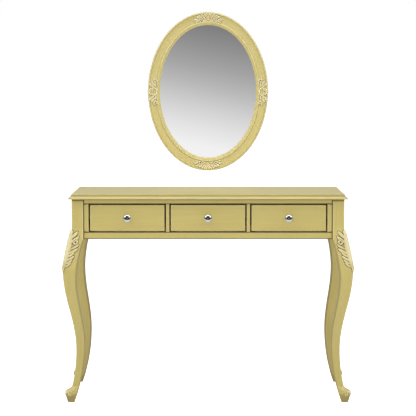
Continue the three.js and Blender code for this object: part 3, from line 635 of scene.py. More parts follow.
def top_painted_shade(inset, rise, thickness):
    """Painted shade: a painted shadow line right under the nose, painted shade where the cove meets the
    fillet, and a little in the cove.
    """
    in_cove = rise < thickness - 1.2
    fillet_corner = 10.6
    if rise < 0.3 or in_cove and abs(inset - fillet_corner) < 1.9:
        return HOLLOW
    return 0.38 if in_cove and inset < 12 else PLAIN


def make_top():
    low, high, middle, half = measures("table_top")
    thickness = (high.z - low.z) / MM
    corner_radius, around = 2.0 * MM, 20
    points, edge, carve = [], [], []
    for inset, rise, value in top_moulding(thickness):
        points += rounded_rectangle(half.x - inset * MM, half.y - inset * MM, corner_radius, middle,
                                    low.z + rise * MM)
        edge += [value] * around
        carve += [top_painted_shade(inset, rise, thickness)] * around
    mesh = skinned("moulded_top", points, around)
    paint_points(mesh, edge=edge, carve=carve)
    add_piece("moulded_top", mesh, "top", "table", "table_top", crisp=28)


# ---------- Cabriole legs ----------

class LegShape:
    """The leg's square section at any height, read from the sections of its CAD solid."""

    def __init__(self, node):
        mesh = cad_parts[node].data
        points = np.empty(len(mesh.vertices) * 3)
        mesh.vertices.foreach_get("co", points)
        points = points.reshape(-1, 3)
        levels = np.round(points[:, 2], 5)
        self.heights = np.unique(levels)
        self.low = np.array([points[levels == h, :2].min(axis=0) for h in self.heights])
        self.high = np.array([points[levels == h, :2].max(axis=0) for h in self.heights])
        top = (self.low[-1] + self.high[-1]) / 2
        self.side = 1 if top[0] > 0 else -1
        self.end = 1 if top[1] > 0 else -1

    def box(self, z):
        """Low x, low y, high x and high y of the section."""
        return [flowing(self.heights, side[:, axis], z)
                for side in (self.low, self.high) for axis in (0, 1)]

    def skin(self, across, z, lift, arris=3.0 * MM):
        """A point over the leg's outer corner: across is measured round it, positive on the face that
        runs along X, and lift is the height above the surface."""
        x0, y0, x1, y1 = self.box(z)
        near_x = (x1 if self.side > 0 else x0) - self.side * arris
        near_y = (y1 if self.end > 0 else y0) - self.end * arris
        quarter = arris * math.pi / 4
        reach = np.abs(across)
        angle = math.pi / 4 + np.clip(reach, 0, quarter) / arris
        flat = np.clip(reach - quarter, 0, None)
        along, away = (arris + lift) * np.cos(angle), (arris + lift) * np.sin(angle)
        on_front = across >= 0
        x = np.where(on_front, near_x + self.side * (along - flat), near_x + self.side * away)
        y = np.where(on_front, near_y + self.end * away, near_y + self.end * (along - flat))
        return np.stack([x, y, z], axis=-1)


def leg_section(box, z, arris):
    """Points round one section with their edge values: arcs at the arrises, points along the flats."""
    x0, y0, x1, y1 = box[0] + arris, box[1] + arris, box[2] - arris, box[3] - arris
    corners = [(x1, y1), (x0, y1), (x0, y0), (x1, y0)]
    steps, flat_shares = 6, (0.06, 0.5, 0.94)
    points, edge = [], []
    for turn, (cx, cy) in enumerate(corners):
        for k in range(steps + 1):
            angle = (turn + k / steps) * QUARTER
            points.append((cx + arris * math.cos(angle), cy + arris * math.sin(angle), z))
        next_x, next_y = corners[(turn + 1) % 4]
        start = Vector(points[-1])
        finish = Vector((next_x + arris * math.cos(angle), next_y + arris * math.sin(angle), z))
        points += [tuple(start.lerp(finish, share)) for share in flat_shares]
        edge += [1.0] * (steps + 1) + [0.0] * len(flat_shares)
    return points, edge


def falling(z, high, depth):
    """0 above the height, growing to 1 at that depth under it."""
    return float(np.clip((high - z) / depth, 0, 1))


def make_leg(label, shape):
    top = shape.heights[-1]
    case_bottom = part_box("front_bottom_rail")[0].z
    heights = np.concatenate([
        [0, 0.4 * MM, 1.4 * MM], np.linspace(3 * MM, 60 * MM, 34), np.linspace(64 * MM, 0.65, 150),
        [top - 0.02, top - 9 * MM, top - 5 * MM, top]])
    points, edge, carve = [], [], []
    for z in heights:
        shrink = max(0.0, 1.4 * MM - z) * 0.6
        box = [float(v) + way * shrink for v, way in zip(shape.box(np.array(z)), (1, 1, -1, -1))]
        arris = 2.2 * MM + 1.6 * MM * falling(z, 0.6, 0.1)
        ring, values = leg_section(box, float(z), arris)
        points += ring
        edge += values
        # Painted light on the leg: a painted highlight on the inner arris beside the case and painted shade
        # on it below the case; painted shade darkens the lower leg a little and the underside of the foot
        # more; a painted shadow line runs right under the top
        middle_x = (box[0] + box[2]) / 2
        inner = 0.64 if z > case_bottom else 0.2
        plain = PLAIN - 0.09 * falling(z, 0.32, 0.14) - 0.25 * falling(z, 36 * MM, 14 * MM)
        under_top = z > top - 6 * MM
        carve += [HOLLOW if under_top else
                  inner if value and (point[0] - middle_x) * shape.side < 0 else plain
                  for point, value in zip(ring, values)]
    mesh = skinned(f"cabriole_leg_{label}", points, len(points) // len(heights))
    paint_points(mesh, edge=edge, carve=carve)
    add_piece(f"cabriole_leg_{label}", mesh, "leg", "table", f"leg_{label}", crisp=40)


# ---------- Carving ----------

def lobe(across, up, root, tip, half_width, height, vein=0.3, bend=0.0):
    """Height of one leaf lobe over a grid: a domed blade from root to tip with a sunk vein."""
    run = np.array(tip, dtype=float) - np.array(root, dtype=float)
    length = float(np.hypot(*run))
    axis = run / length
    from_x, from_y = across - root[0], up - root[1]
    share = (from_x * axis[0] + from_y * axis[1]) / length
    offset = from_y * axis[0] - from_x * axis[1]
    inside = np.clip(share, 0, 1)
    offset = offset - bend * length * 4 * inside * (1 - inside)
    widest = 0.6
    growing = 0.5 + 0.5 * np.sin(np.clip(share / widest, 0, 1) * QUARTER)
    ending = np.sqrt(np.clip(1 - (np.clip(share - widest, 0, None) / 0.4) ** 2, 0, 1))
    q = offset / (half_width * growing * ending + 1e-6)
    dome = np.sqrt(np.clip(1 - q ** 2, 0, 1)) ** 0.8
    rise = height * (0.55 + 0.45 * inside) * dome - height * vein * np.exp(-(q / 0.25) ** 2) * dome
    return np.where((share > -0.05) & (share < 1) & (np.abs(q) < 1), rise, BARE)


def with_lobes(relief, across, up, lobes, vein, bend=0.0):
    """The relief with lobes over it, each a root, a tip, a half width and a height."""
    for root, tip, width, height in lobes:
        relief = np.maximum(relief, lobe(across, up, root, tip, width, height, vein, bend))
    return relief


def scroll_eye(across, up, centre, radius, height):
    """Height of a round eye: a ring with a drilled hole."""
    distance = np.hypot(across - centre[0], up - centre[1])
    ring = height * np.exp(-((distance - radius * 0.72) / (radius * 0.30)) ** 2)
    ring = np.where(distance < radius * 0.34, -0.4, ring)
    return np.where(distance < radius * 1.12, ring, BARE)


def with_eye(relief, across, up, centre, radius, height, reach):
    """The relief with a scroll eye that takes the place of all within its reach."""
    eye = scroll_eye(across, up, centre, radius, height)
    return np.where(np.hypot(across - centre[0], up - centre[1]) < reach, eye, relief)


def blade_width(up):
    """Half width of the knee leaf's body at each height above its lower tip."""
    heights = np.array([0, 10, 21, 31, 41, 57, 74, 90, 110, 130, 146, LEAF_LENGTH], dtype=float)
    widths = np.array([1.5, 4, 7, 10, 13, 15, 17, 17, 14, 11, 6, 0], dtype=float)
    return flowing(heights, widths, np.clip(up, 0, LEAF_LENGTH))


def knee_leaf_heights(across, up):
    """Relief of the knee's acanthus leaf, in millimetres above the knee."""
    reach = np.abs(across)
    q = reach / np.maximum(blade_width(up), 0.5)
    body = 2.3 * np.sqrt(np.clip(1 - q ** 3, 0, 1))
    body = body + 1.1 * np.exp(-(reach / 5.5) ** 2) * np.clip((up - 2) / 10, 0, 1)
    veins = 0.45 * np.cos(2 * math.pi * (q * 2.3 + 0.004 * up))
    fade = np.clip(up / 25, 0, 1) * np.clip((LEAF_LENGTH - up) / 25, 0, 1) * np.clip(1.2 - q, 0, 1)
    relief = np.where((q < 1) & (up > 0) & (up < LEAF_LENGTH), body + veins * fade, BARE)
    lobes = [(*shape, LEAF_HEIGHT) for shape in LEAF_LOBES]
    relief = with_lobes(relief, reach, up, lobes, 0.34, -0.06)
    return with_eye(relief, reach, up, LEAF_EYE, LEAF_EYE_RADIUS, LEAF_HEIGHT, LEAF_EYE_RADIUS * 1.1)


def toe_heights(across, up):
    """Relief of the small leaf and scroll that cap the toe."""
    reach = np.abs(across)
    lobes = (((0, 60), (2, 33), 6.5, 2.3), ((4, 56), (13, 35), 4.2, 2.0), ((9, 52), (22, 38), 3.6, 1.8))
    relief = with_lobes(np.full_like(up, BARE), reach, up, lobes, 0.3)
    return np.maximum(relief, scroll_eye(reach, up, (15, 29), 5.4, 2.2))


def crest_end_heights(along, out):
    """Relief of the ornaments at the top and the bottom: a palmette between leafy scrolls."""
    reach = np.abs(along)
    relief = lobe(reach, out, (1.2, -3), (5.5, 16.5), 3.2, 4.6, 0.15)
    lobes = (((3, -5), (15, 14), 3.6, 3.8), ((12, -5), (25, 13), 3.8, 4.2), ((21, -5), (35, 11), 4.0, 4.4),
             ((29, -5), (44, 8), 4.0, 4.4), ((38, -7), (56, 0), 4.0, 4.6), ((36, -10), (52, -12), 3.6, 4.0),
             ((3, -12), (24, -12.5), 2.6, 1.9))
    relief = with_lobes(relief, reach, out, lobes, 0.25, 0.05)
    drop = 3.8 * np.sqrt(np.clip(1 - (reach / 3.6) ** 2 - ((out + 8) / 3.6) ** 2, 0, 1))
    relief = np.maximum(relief, np.where(drop > 0, drop, BARE))
    return with_eye(relief, reach, out, (31, -8), 6.2, 4.8, 6.6)


def crest_side_heights(along, out):
    """Relief of the ornaments at the sides: an open flower between leaves and small scrolls."""
    reach = np.abs(along)
    petal_angles = [math.radians(-105 + turn * 35) for turn in range(7)]
    petals = [((0, 3), (14 * math.sin(a), 4 + 14 * math.cos(a)), 4.6, 4.8) for a in petal_angles]
    relief = with_lobes(np.full_like(along, BARE), along, out, petals, 0.2)
    lobes = (((11, -8), (25, 4), 4.6, 4.2), ((18, -3), (32, 14), 4.6, 4.4), ((25, -6), (42, 7), 4.8, 4.4),
             ((33, -9), (54, -3), 4.6, 4.6), ((17, -12), (31, -9), 3.4, 3.4))
    relief = with_lobes(relief, reach, out, lobes, 0.25, 0.07)
    bow_radius, bow_width = 17, 2.4
    arc = np.abs(np.hypot(along, out - 2) - bow_radius)
    bow = 3.4 * np.sqrt(np.clip(1 - (arc / bow_width) ** 2, 0, 1))
    relief = np.maximum(relief, np.where((arc < bow_width) & (out < -3), bow, BARE))
    relief = with_eye(relief, reach, out, (45, -9), 6.0, 4.6, 6.4)
    return with_eye(relief, along, out, (0, 4), 4.8, 5.2, 5.0)


def relief_grid(half_across, low, high, step):
    """Millimetres up (or out) and across at every point of a grid."""
    return np.meshgrid(np.arange(low, high, step), np.arange(-half_across, half_across + 0.01, step))


def add_carving(name, heights, place, under, skirt, finish, body, node=None, painted_highlight=None):
    """A closed shell over a grid: the carved face with a thin skirt of ground round it, and a back.

    Place gives the points at a lift in millimetres, and under is how far the back lies below the surface.
    Painted shade, with some glaze in carved hollows, falls where the face lies well below what stands
    beside it, so the thin skirt round the carving reads as a painted shadow outline; the painted highlight
    values lighten the raised parts."""
    heights = softened(heights, 1)
    near = spread(heights, skirt) > 0.3
    heights = np.where(near & (heights < GROUND), GROUND, heights)
    raised = heights > 0
    rows, columns = heights.shape
    total = rows * columns
    filled = raised[:-1, :-1] | raised[1:, :-1] | raised[:-1, 1:] | raised[1:, 1:]
    around = np.pad(filled, 1)
    faces = []
    for i, j in zip(*np.nonzero(filled)):
        a = int(i) * columns + int(j)
        b, c, d = a + columns, a + columns + 1, a + 1
        faces += [(a, b, c, d), (d + total, c + total, b + total, a + total)]
        for row, column, p, q in (
                (i + 1, j, b, a), (i + 1, j + 2, d, c), (i, j + 1, a, d), (i + 2, j + 1, c, b)):
            if not around[row, column]:
                faces.append((p, q, q + total, p + total))
    face = place(np.maximum(heights, -0.5)).reshape(-1, 3)
    back = place(np.full_like(heights, -under)).reshape(-1, 3)
    mesh = mesh_of(name, np.concatenate([face, back]), faces)
    # Painted shade in hollows and on the skirt, painted highlight on raised detail
    detail = heights - softened(np.maximum(heights, -0.3), 8)
    valley = np.clip(heights / np.maximum(spread(heights, 4), 0.5) / 0.62, 0, 1)
    carve = np.minimum(np.clip(PLAIN + detail * 0.8, 0, 1), valley)
    if painted_highlight is not None:
        carve = np.where(valley >= 1, np.maximum(carve, painted_highlight), carve)
    paint_points(mesh, carve=np.concatenate([carve.ravel(), np.full(total, 0.3)]))
    outward(mesh, merge=False)
    add_piece(name, mesh, finish, body, node, crisp=60)


def make_knee_leaf(label, shape):
    low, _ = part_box(f"knee_leaf_{label}")
    up, across = relief_grid(46, -1, 154, 0.75)
    # Painted highlight along the leaf at the leg's outer corner
    painted_highlight = PLAIN + 0.34 * np.exp(-(np.abs(across) / 13) ** 2) * np.clip((up - 22) / 25, 0, 1)
    add_carving(f"carved_knee_leaf_{label}", knee_leaf_heights(across, up),
                lambda lift: shape.skin(across * MM, low.z + up * MM, lift * MM),
                1.2, 3, "leaf", "table", f"knee_leaf_{label}", painted_highlight)


def make_toe_leaf(label, shape):
    up, across = relief_grid(32, 2, 68, 0.6)
    # Painted highlight on the toe's tip
    painted_highlight = PLAIN + 0.5 * np.exp(-(across / 8) ** 2 - ((up - 36) / 8) ** 2)
    add_carving(f"carved_toe_{label}", toe_heights(across, up),
                lambda lift: shape.skin(across * MM, up * MM, lift * MM),
                1.0, 2, "leaf", "table", painted_highlight=painted_highlight)


def make_legs():
    for label in CORNERS:
        shape = LegShape(f"leg_{label}")
        make_leg(label, shape)
        make_knee_leaf(label, shape)
        make_toe_leaf(label, shape)


# ---------- Knobs ----------

def turned(profile, sides, centre):
    """Points of a shape turned about an axis along -Y through the centre; profile holds (radius, reach)."""
    angles = [2 * math.pi * k / sides for k in range(sides)]
    return [(centre[0] + radius * math.cos(angle), centre[1] - reach, centre[2] + radius * math.sin(angle))
            for radius, reach in profile for angle in angles]


def knob(label, body):
    low, high, middle, half = measures(f"{body}_knob")
    radius, reach = half.x, high.y - low.y
    flange, neck, sides = radius * 0.56, radius * 0.36, 48
    neck_from, neck_length = 1.9 * MM, 5.0 * MM
    profile = [(2.2 * MM, 0.05 * MM), (flange - 0.3 * MM, 0), (flange, 0.35 * MM), (flange, 1.3 * MM),
               (flange - 0.5 * MM, 1.8 * MM)]
    for k in range(1, 9):
        narrowing = (1 - math.sin(k / 8 * QUARTER)) ** 1.4
        profile.append((neck + (flange - 0.8 * MM - neck) * narrowing, neck_from + neck_length * k / 8))
    head_from = neck_from + neck_length
    head_middle, head_half = (head_from + reach) / 2, (reach - head_from) / 2
    start = math.asin(neck / radius)
    for k in range(1, 33):
        angle = start + (math.pi - start) * k / 32
        profile.append((max(radius * math.sin(angle), 0.02 * MM),
                        head_middle - head_half * math.cos(angle)))
    name = f"chrome_knob_{label}"
    mesh = skinned(name, turned(profile, sides, (middle.x, high.y, middle.z)), sides)
    outward(mesh)
    add_piece(name, mesh, "chrome", body, f"{body}_knob", crisp=50)


def knob_screw(label, body):
    """Round-headed machine screw with a cross recess and a threaded shaft."""
    low, high, middle, half = measures(f"{body}_knob_screw")
    head, head_height, shaft, pitch, sides = half.x, 2.6 * MM, 2.0 * MM, 0.7 * MM, 24
    length = high.y - low.y
    profile = [(0.05 * MM, 0.0)]
    for k in range(1, 9):
        angle = k / 8 * QUARTER
        profile.append((head * math.sin(angle), head_height * 0.8 * (1 - math.cos(angle))))
    domed = len(profile) * sides
    profile += [(head, head_height), (shaft, head_height)]
    for k in range(int((length - head_height - 1 * MM) / pitch)):
        crest = head_height + (k + 0.5) * pitch
        profile += [(shaft, crest), (shaft * 0.84, crest + pitch / 2)]
    profile += [(shaft * 0.8, length - 0.3 * MM), (0.05 * MM, length)]
    points = turned(profile, sides, (middle.x, high.y, middle.z))
    slot_width, slot_reach, slot_depth = 0.75 * MM, 2.6 * MM, 1.1 * MM
    for k, (x, y, z) in enumerate(points[:domed]):
        near, far = sorted((abs(x - middle.x), abs(z - middle.z)))
        if near < slot_width and far < slot_reach:
            points[k] = (x, y - slot_depth, z)
    name = f"knob_screw_{label}"
    mesh = skinned(name, points, sides)
    outward(mesh)
    add_piece(name, mesh, "steel", body, f"{body}_knob_screw", crisp=40)


# ---------- Oval mirror ----------

class Oval:
    """Places on the oval frame: share is 0 at the sight edge and 1 at the outer edge."""

    def __init__(self):
        _, high, middle, half = measures("mirror_frame")
        self.centre_z, self.back_y = middle.z, high.y
        self.half_x, self.half_z = half.x, half.z

    def halves(self, share):
        return self.half_x - (1 - share) * MOULDING_SIDE, self.half_z - (1 - share) * MOULDING_END

    def point(self, share, rise, angle):
        half_x, half_z = self.halves(share)
        return np.stack(np.broadcast_arrays(
            half_x * np.cos(angle), self.back_y - rise, self.centre_z + half_z * np.sin(angle)), axis=-1)


# The broad coved band: its inner and outer share, and its height above the back of the frame at both
BAND_IN, BAND_OUT = 0.31, 0.86
BAND_RISE_IN, BAND_RISE_OUT = 17.0 * MM, 23.0 * MM


def band_rise(share):
    """Height of the broad coved band above the back of the frame."""
    part = np.clip((share - BAND_IN) / (BAND_OUT - BAND_IN), 0, 1)
    return BAND_RISE_IN + (BAND_RISE_OUT - BAND_RISE_IN) * part - 1.1 * MM * np.sin(math.pi * part)


def moulding_section():
    """(share, rise, carve, edge) round the frame's section, from the rebate over the front to the back."""
    # Carve and edge values paint light here: painted shade in the hollows on both sides of the band, and a
    # painted highlight on the inner lip's crown and the outer rim
    rows = [(0.155, 11.0, 0.4, 0), (0.004, 11.0, 0.4, 0), (0.0, 11.3, 0.5, 0.3), (0.0, 13.4, 0.5, 0.6),
            (0.010, 13.9, 0.55, 0.5)]
    for k in range(1, 9):
        rows.append((0.010 + 0.19 * k / 8, 13.9 + 4.3 * math.sin(k / 8 * QUARTER) ** 1.2, 0.5, 0))
    rows += [(0.215, 19.1, 0.66, 0.6), (0.232, 19.55, 0.74, 1), (0.252, 19.5, 0.74, 1),
             (0.270, 19.0, 0.6, 0.6), (0.283, 18.0, 0.4, 0), (0.294, 17.1, 0.12, 0)]
    for k in range(15):
        share = BAND_IN + (BAND_OUT - BAND_IN) * k / 14
        rows.append((share, float(band_rise(share)) / MM, 0.3 if k in (0, 14) else 0.5, 0))
    return rows + [
        (0.866, 22.4, 0.05, 0), (0.874, 23.6, 0.22, 0), (0.884, 24.5, 0.5, 0.3), (0.905, 25.0, 0.55, 0.5),
        (0.94, 25.0, 0.5, 0.3), (0.968, 24.5, 0.55, 0.6), (0.988, 23.4, 0.4, 0.2), (1.0, 21.8, 0.3, 0),
        (1.0, 4.6, 0.5, 0), (0.992, 2.0, 0.5, 0.5), (0.972, 0.4, 0.5, 0.2), (0.95, 0.0, 0.5, 0),
        (0.155, 0.0, 0.5, 0)]


def geometry_tree(name, inputs, build):
    """A Geometry Nodes tree with more inputs (label and kind), ending in real geometry with its finish."""
    tree = bpy.data.node_groups.new(name, "GeometryNodeTree")
    sockets = {"Geometry": "Geometry", **inputs, "Finish": "Material"}
    for label, kind in sockets.items():
        tree.interface.new_socket(label, in_out="INPUT", socket_type="NodeSocket" + kind)
    tree.interface.new_socket("Geometry", in_out="OUTPUT", socket_type="NodeSocketGeometry")
    nodes = Nodes(tree)
    given = nodes.add("NodeGroupInput").outputs
    real = nodes.put("GeometryNodeRealizeInstances", build(nodes, given))
    finished = nodes.add("GeometryNodeSetMaterial", Geometry=real, Material=given["Finish"])
    nodes.join(finished.outputs[0], nodes.add("NodeGroupOutput").inputs[0])
    return tree


def named_number(nodes, name):
    return nodes.add("GeometryNodeInputNamedAttribute", Name=name).outputs[0]


def oval_sweep(nodes, given):
    """Sweeps the section once round an oval whose rail widths differ at the sides and the ends."""
    path = nodes.add("GeometryNodeCurvePrimitiveCircle", Resolution=given["Segments"], Radius=1.0)
    section = nodes.put("GeometryNodeMeshToCurve", given["Geometry"])
    swept = nodes.add("GeometryNodeCurveToMesh", Curve=path.outputs["Curve"], Profile_Curve=section)
    place = nodes.add("ShaderNodeSeparateXYZ", Vector=nodes.put("GeometryNodeInputPosition")).outputs
    angle = nodes.math("ARCTAN2", place["Y"], place["X"])
    inward = nodes.math("SUBTRACT", 1.0, named_number(nodes, "share"))

    def reach(half, width, turn):
        radius = nodes.math("SUBTRACT", given[half], nodes.times(inward, given[width]))
        return nodes.times(radius, nodes.math(turn, angle))

    target = nodes.put(
        "ShaderNodeCombineXYZ", reach("Half Width", "Side Width", "COSINE"),
        nodes.math("SUBTRACT", given["Back"], named_number(nodes, "rise")),
        nodes.math("ADD", given["Centre Height"], reach("Half Height", "End Width", "SINE")))
    return nodes.add("GeometryNodeSetPosition", Geometry=swept.outputs[0], Position=target).outputs[0]


def grown(name, seed_mesh, tree, settings):
    """The plain mesh that a Geometry Nodes tree makes from the seed mesh and its named settings."""
    holder = in_scene(name + "_seed", seed_mesh)
    modifier = holder.modifiers.new("nodes", "NODES")
    modifier.node_group = tree
    sockets = {item.name: item.identifier for item in tree.interface.items_tree if item.in_out == "INPUT"}
    for label, value in settings.items():
        modifier[sockets[label]] = value
    evaluated = holder.evaluated_get(bpy.context.evaluated_depsgraph_get())
    made = bpy.data.meshes.new_from_object(evaluated)
    bpy.data.objects.remove(holder)
    made.name = name
    return made


def make_frame(oval):
    rows = moulding_section()
    shares, rises, carve, edge = zip(*rows)
    count = len(rows)
    outline = [(0.1 * share, rise * MM, 0) for share, rise in zip(shares, rises)]
    section = mesh_of("moulding_section", outline, [], [(k, (k + 1) % count) for k in range(count)])
    paint_points(section, share=shares, rise=[rise * MM for rise in rises], carve=carve, edge=edge,
                 row=range(count))
    kinds = {label: "Float" for label in
             ("Half Width", "Half Height", "Side Width", "End Width", "Back", "Centre Height")}
    tree = geometry_tree("Oval moulding sweep", {**kinds, "Segments": "Int"}, oval_sweep)
    mesh = grown("oval_moulding", section, tree, {
        "Half Width": oval.half_x, "Half Height": oval.half_z, "Side Width": MOULDING_SIDE,
        "End Width": MOULDING_END, "Back": oval.back_y, "Centre Height": oval.centre_z, "Segments": 224,
        "Finish": FINISH["moulding"]})
    add_length_map(mesh, rows, oval)
    outward(mesh, merge=False)
    add_piece("oval_moulding", mesh, "moulding", "mirror", "mirror_frame", crisp=32)


def add_length_map(mesh, rows, oval):
    """A UV map in metres: U along the oval, V across the section."""
    steps = [math.hypot((b[0] - a[0]) * MOULDING_SIDE, (b[1] - a[1]) * MM)
             for a, b in zip(rows, rows[1:] + rows[:1])]
    across = np.concatenate([[0], np.cumsum(steps)])
    row_of = np.empty(len(mesh.vertices), dtype=np.float32)
    mesh.attributes["row"].data.foreach_get("value", row_of)
    girth = math.pi * (oval.half_x + oval.half_z)
    layer = mesh.uv_layers.new(name="length")
    for polygon in mesh.polygons:
        corners = [mesh.loops[loop].vertex_index for loop in polygon.loop_indices]
        places = [mesh.vertices[k].co for k in corners]
        turns = [math.atan2((p.z - oval.centre_z) / oval.half_z, p.x / oval.half_x) / (2 * math.pi)
                 for p in places]
        lines = [int(round(float(row_of[k]))) for k in corners]
        for loop, turn, line in zip(polygon.loop_indices, turns, lines):
            # A face over the seam of the oval or of the section goes on past the end of the map
            turn += 1 if max(turns) - turn > 0.5 else 0
            line = len(rows) if line == 0 and max(lines) > 1 else line
            layer.data[loop].uv = (turn * girth, float(across[line]))


def make_glass():
    """Mirror plate with a fine ground edge."""
    low, high, middle, half = measures("mirror_glass")
    around, thickness = 160, high.y - low.y
    angles = 2 * math.pi * np.arange(around) / around
    points = []
    for inset, depth in ((0.6, 0), (0, 0.15), (0, 0.8), (0.6, 1.0), (60, 1.0)):
        half_x, half_z, y = half.x - inset * MM, half.z - inset * MM, high.y - depth * thickness
        points += [(half_x * math.cos(angle), y, middle.z + half_z * math.sin(angle)) for angle in angles]
    mesh = skinned("mirror_plate", points, around)
    outward(mesh)
    add_piece("mirror_plate", mesh, "glass", "mirror", "mirror_glass", crisp=20)


def make_crest(oval, place_name, angle, heights_of):
    """A carved ornament laid over the band at the given angle of the oval."""
    at_side = abs(math.cos(angle)) > 0.5
    width = MOULDING_SIDE if at_side else MOULDING_END
    middle, outer_bead, bead_slope = 0.60, 0.97, 0.10
    out, along = relief_grid(58, -17.5, 19.01, 0.55)
    share = middle + out * MM / width
    turn = along * MM / oval.halves(middle)[1 if at_side else 0]

    def place(lift):
        ground = band_rise(share) - np.clip(share - outer_bead, 0, None) * bead_slope
        return oval.point(share, ground + lift * MM, angle + turn)

    add_carving(f"carved_crest_{place_name}", heights_of(along, out), place, 1.4, 2, "crest", "mirror",
                f"mirror_crest_{place_name}")


def make_mirror():
    oval = Oval()
    make_frame(oval)
    make_glass()
    make_crest(oval, "top", QUARTER, crest_end_heights)
    make_crest(oval, "bottom", -QUARTER, crest_end_heights)
    make_crest(oval, "right", 0, crest_side_heights)
    make_crest(oval, "left", math.pi, crest_side_heights)
    eased_board("mirror_back_panel", "mirror_backing", "mirror", "hardboard", 0.3)
    eased_board("mirror_hook_bar", "mirror_hanger_bar", "mirror", "steel", 0.25, 2.0)
    eased_board("wall_hook_bar", "wall_hanger_bar", "table", "steel", 0.25, 2.0)
    for side in ("left", "right"):
        eased_board(f"wall_pad_{side}", f"mirror_bumper_{side}", "mirror", "felt", 0.6)
    make_panel_tabs(oval)
    make_bar_screws()


# ---------- Repeated fixings, by Geometry Nodes ----------

def screw_head(nodes, given):
    """A domed head with a cross cut, facing +Z."""
    size = given["Size"]
    dome = nodes.add("GeometryNodeMeshUVSphere", Segments=20, Rings=12, Radius=size)
    flat = nodes.add("GeometryNodeTransform", Geometry=dome.outputs[0], Scale=(1, 1, 0.45))
    cut = nodes.add("GeometryNodeMeshBoolean", {"operation": "DIFFERENCE"}, Mesh_1=flat.outputs[0])
    lift = nodes.put("ShaderNodeCombineXYZ", 0.0, 0.0, nodes.times(size, 0.75))
    for width, length in ((0.35, 1.3), (1.3, 0.35)):
        sizes = nodes.put("ShaderNodeCombineXYZ", nodes.times(size, width), nodes.times(size, length), size)
        bar = nodes.add("GeometryNodeMeshCube", Size=sizes)
        slot = nodes.add("GeometryNodeTransform", Geometry=bar.outputs[0], Translation=lift)
        nodes.join(slot.outputs[0], cut.inputs["Mesh 2"])
    return cut.outputs[0]


def flat_tab(nodes, given):
    """A thin steel tab, lying flat and facing +Z."""
    width = given["Size"]
    sizes = nodes.put("ShaderNodeCombineXYZ", width, nodes.times(width, 2.4), given["Thickness"])
    return nodes.put("GeometryNodeMeshCube", sizes, 5, 9, 2)


def set_fixings(name, places, turns, fixing, size, thickness, body):
    """Sets a steel fixing at each place, turned as given, and makes one plain mesh of them."""
    def fixed(nodes, given):
        turn = nodes.add("GeometryNodeInputNamedAttribute", {"data_type": "FLOAT_VECTOR"}, Name="turn")
        rotation = nodes.put("FunctionNodeEulerToRotation", turn.outputs[0])
        return nodes.add("GeometryNodeInstanceOnPoints", Points=given["Geometry"],
                         Instance=fixing(nodes, given), Rotation=rotation).outputs[0]

    seed = mesh_of(name + "_points", places, [])
    turn = seed.attributes.new("turn", "FLOAT_VECTOR", "POINT")
    turn.data.foreach_set("vector", np.asarray(turns, dtype=np.float32).ravel())
    tree = geometry_tree(name + "_tree", {"Size": "Float", "Thickness": "Float"}, fixed)
    mesh = grown(name, seed, tree, {"Size": size, "Thickness": thickness, "Finish": FINISH["steel"]})
    add_piece(name, mesh, "steel", body)


def make_panel_tabs(oval):
    """Flexible tabs round the back of the frame that hold the back panel in its rebate."""
    _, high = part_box("mirror_backing")
    count, rebate_share = 14, 0.13
    places, turns = [], []
    for k in range(count):
        angle = 2 * math.pi * (k + 0.5) / count
        x, _, z = oval.point(rebate_share, 0.0, angle)
        places.append((float(x), high.y + 0.7 * MM, float(z)))
        facing = math.atan2(math.sin(angle) * oval.half_z, math.cos(angle) * oval.half_x)
        turns.append((QUARTER, QUARTER - facing, 0))
    set_fixings("back_panel_tabs", places, turns, flat_tab, 7 * MM, 0.5 * MM, "mirror")


def make_bar_screws():
    """Round-headed screws through the two hanger bars, four in each, with their heads on the free side."""
    plate = 1.7 * MM
    for label, body in (("wall", "table"), ("mirror", "mirror")):
        low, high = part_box(f"{label}_hanger_bar")
        if label == "wall":
            y, z, tilt = high.y - plate, low.z + 10 * MM, QUARTER
        else:
            y, z, tilt = low.y + plate, high.z - 9 * MM, -QUARTER
        places = [(x, y, z) for x in np.linspace(low.x + 20 * MM, high.x - 20 * MM, 4)]
        set_fixings(f"{label}_bar_screws", places, [(tilt, 0, 0)] * len(places), screw_head,
                    3.4 * MM, 1 * MM, body)


# ---------- Studio ----------

CAMERA_DISTANCE, CAMERA_HEIGHT, CAMERA_TILT, CAMERA_LENS = 5.8354, 1.2233, 4.995, 139.88


def make_camera():
    """Long lens in front of the table, a little above the top and tilted down."""
    data = bpy.data.cameras.new("camera")
    data.lens = CAMERA_LENS
    data.sensor_width = 36
    camera = in_scene("camera", data)
    camera.location = (0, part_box("table_top")[0].y - CAMERA_DISTANCE, CAMERA_HEIGHT)
    camera.rotation_euler = (math.radians(90 - CAMERA_TILT), 0, 0)
    bpy.context.scene.camera = camera


def make_floor():
    """Pale floor that looks white to the camera; well in front of the table it is dark in reflections."""
    mesh = mesh_of("floor", [(-30, -11, 0), (30, -11, 0), (30, 50, 0), (-30, 50, 0)], [(0, 1, 2, 3)])
    material = bpy.data.materials.new("pale_floor")
    nodes = clean_tree(material)
    place = nodes.add("ShaderNodeTexCoord").outputs["Object"]
    depth = nodes.add("ShaderNodeSeparateXYZ", Vector=place).outputs["Y"]
    path = nodes.add("ShaderNodeLightPath").outputs
    paper = nodes.mix(nodes.noise(place, 3.0, 4.0), grey(0.80), grey(0.86))
    in_reflection = nodes.mix(path["Is Glossy Ray"], paper, grey(0.05))
    tone = nodes.mix(nodes.span(depth, -1.6, -1.1), in_reflection, paper)
    matt = nodes.put("ShaderNodeBsdfDiffuse", tone)
    glow = nodes.add("ShaderNodeEmission", Color=grey(1), Strength=1.0).outputs[0]
    to_camera = nodes.put("ShaderNodeAddShader", matt, glow)
    nodes.add("ShaderNodeOutputMaterial",
              Surface=nodes.put("ShaderNodeMixShader", path["Is Camera Ray"], matt, to_camera))
    mesh.materials.append(material)
    in_scene("floor", mesh)


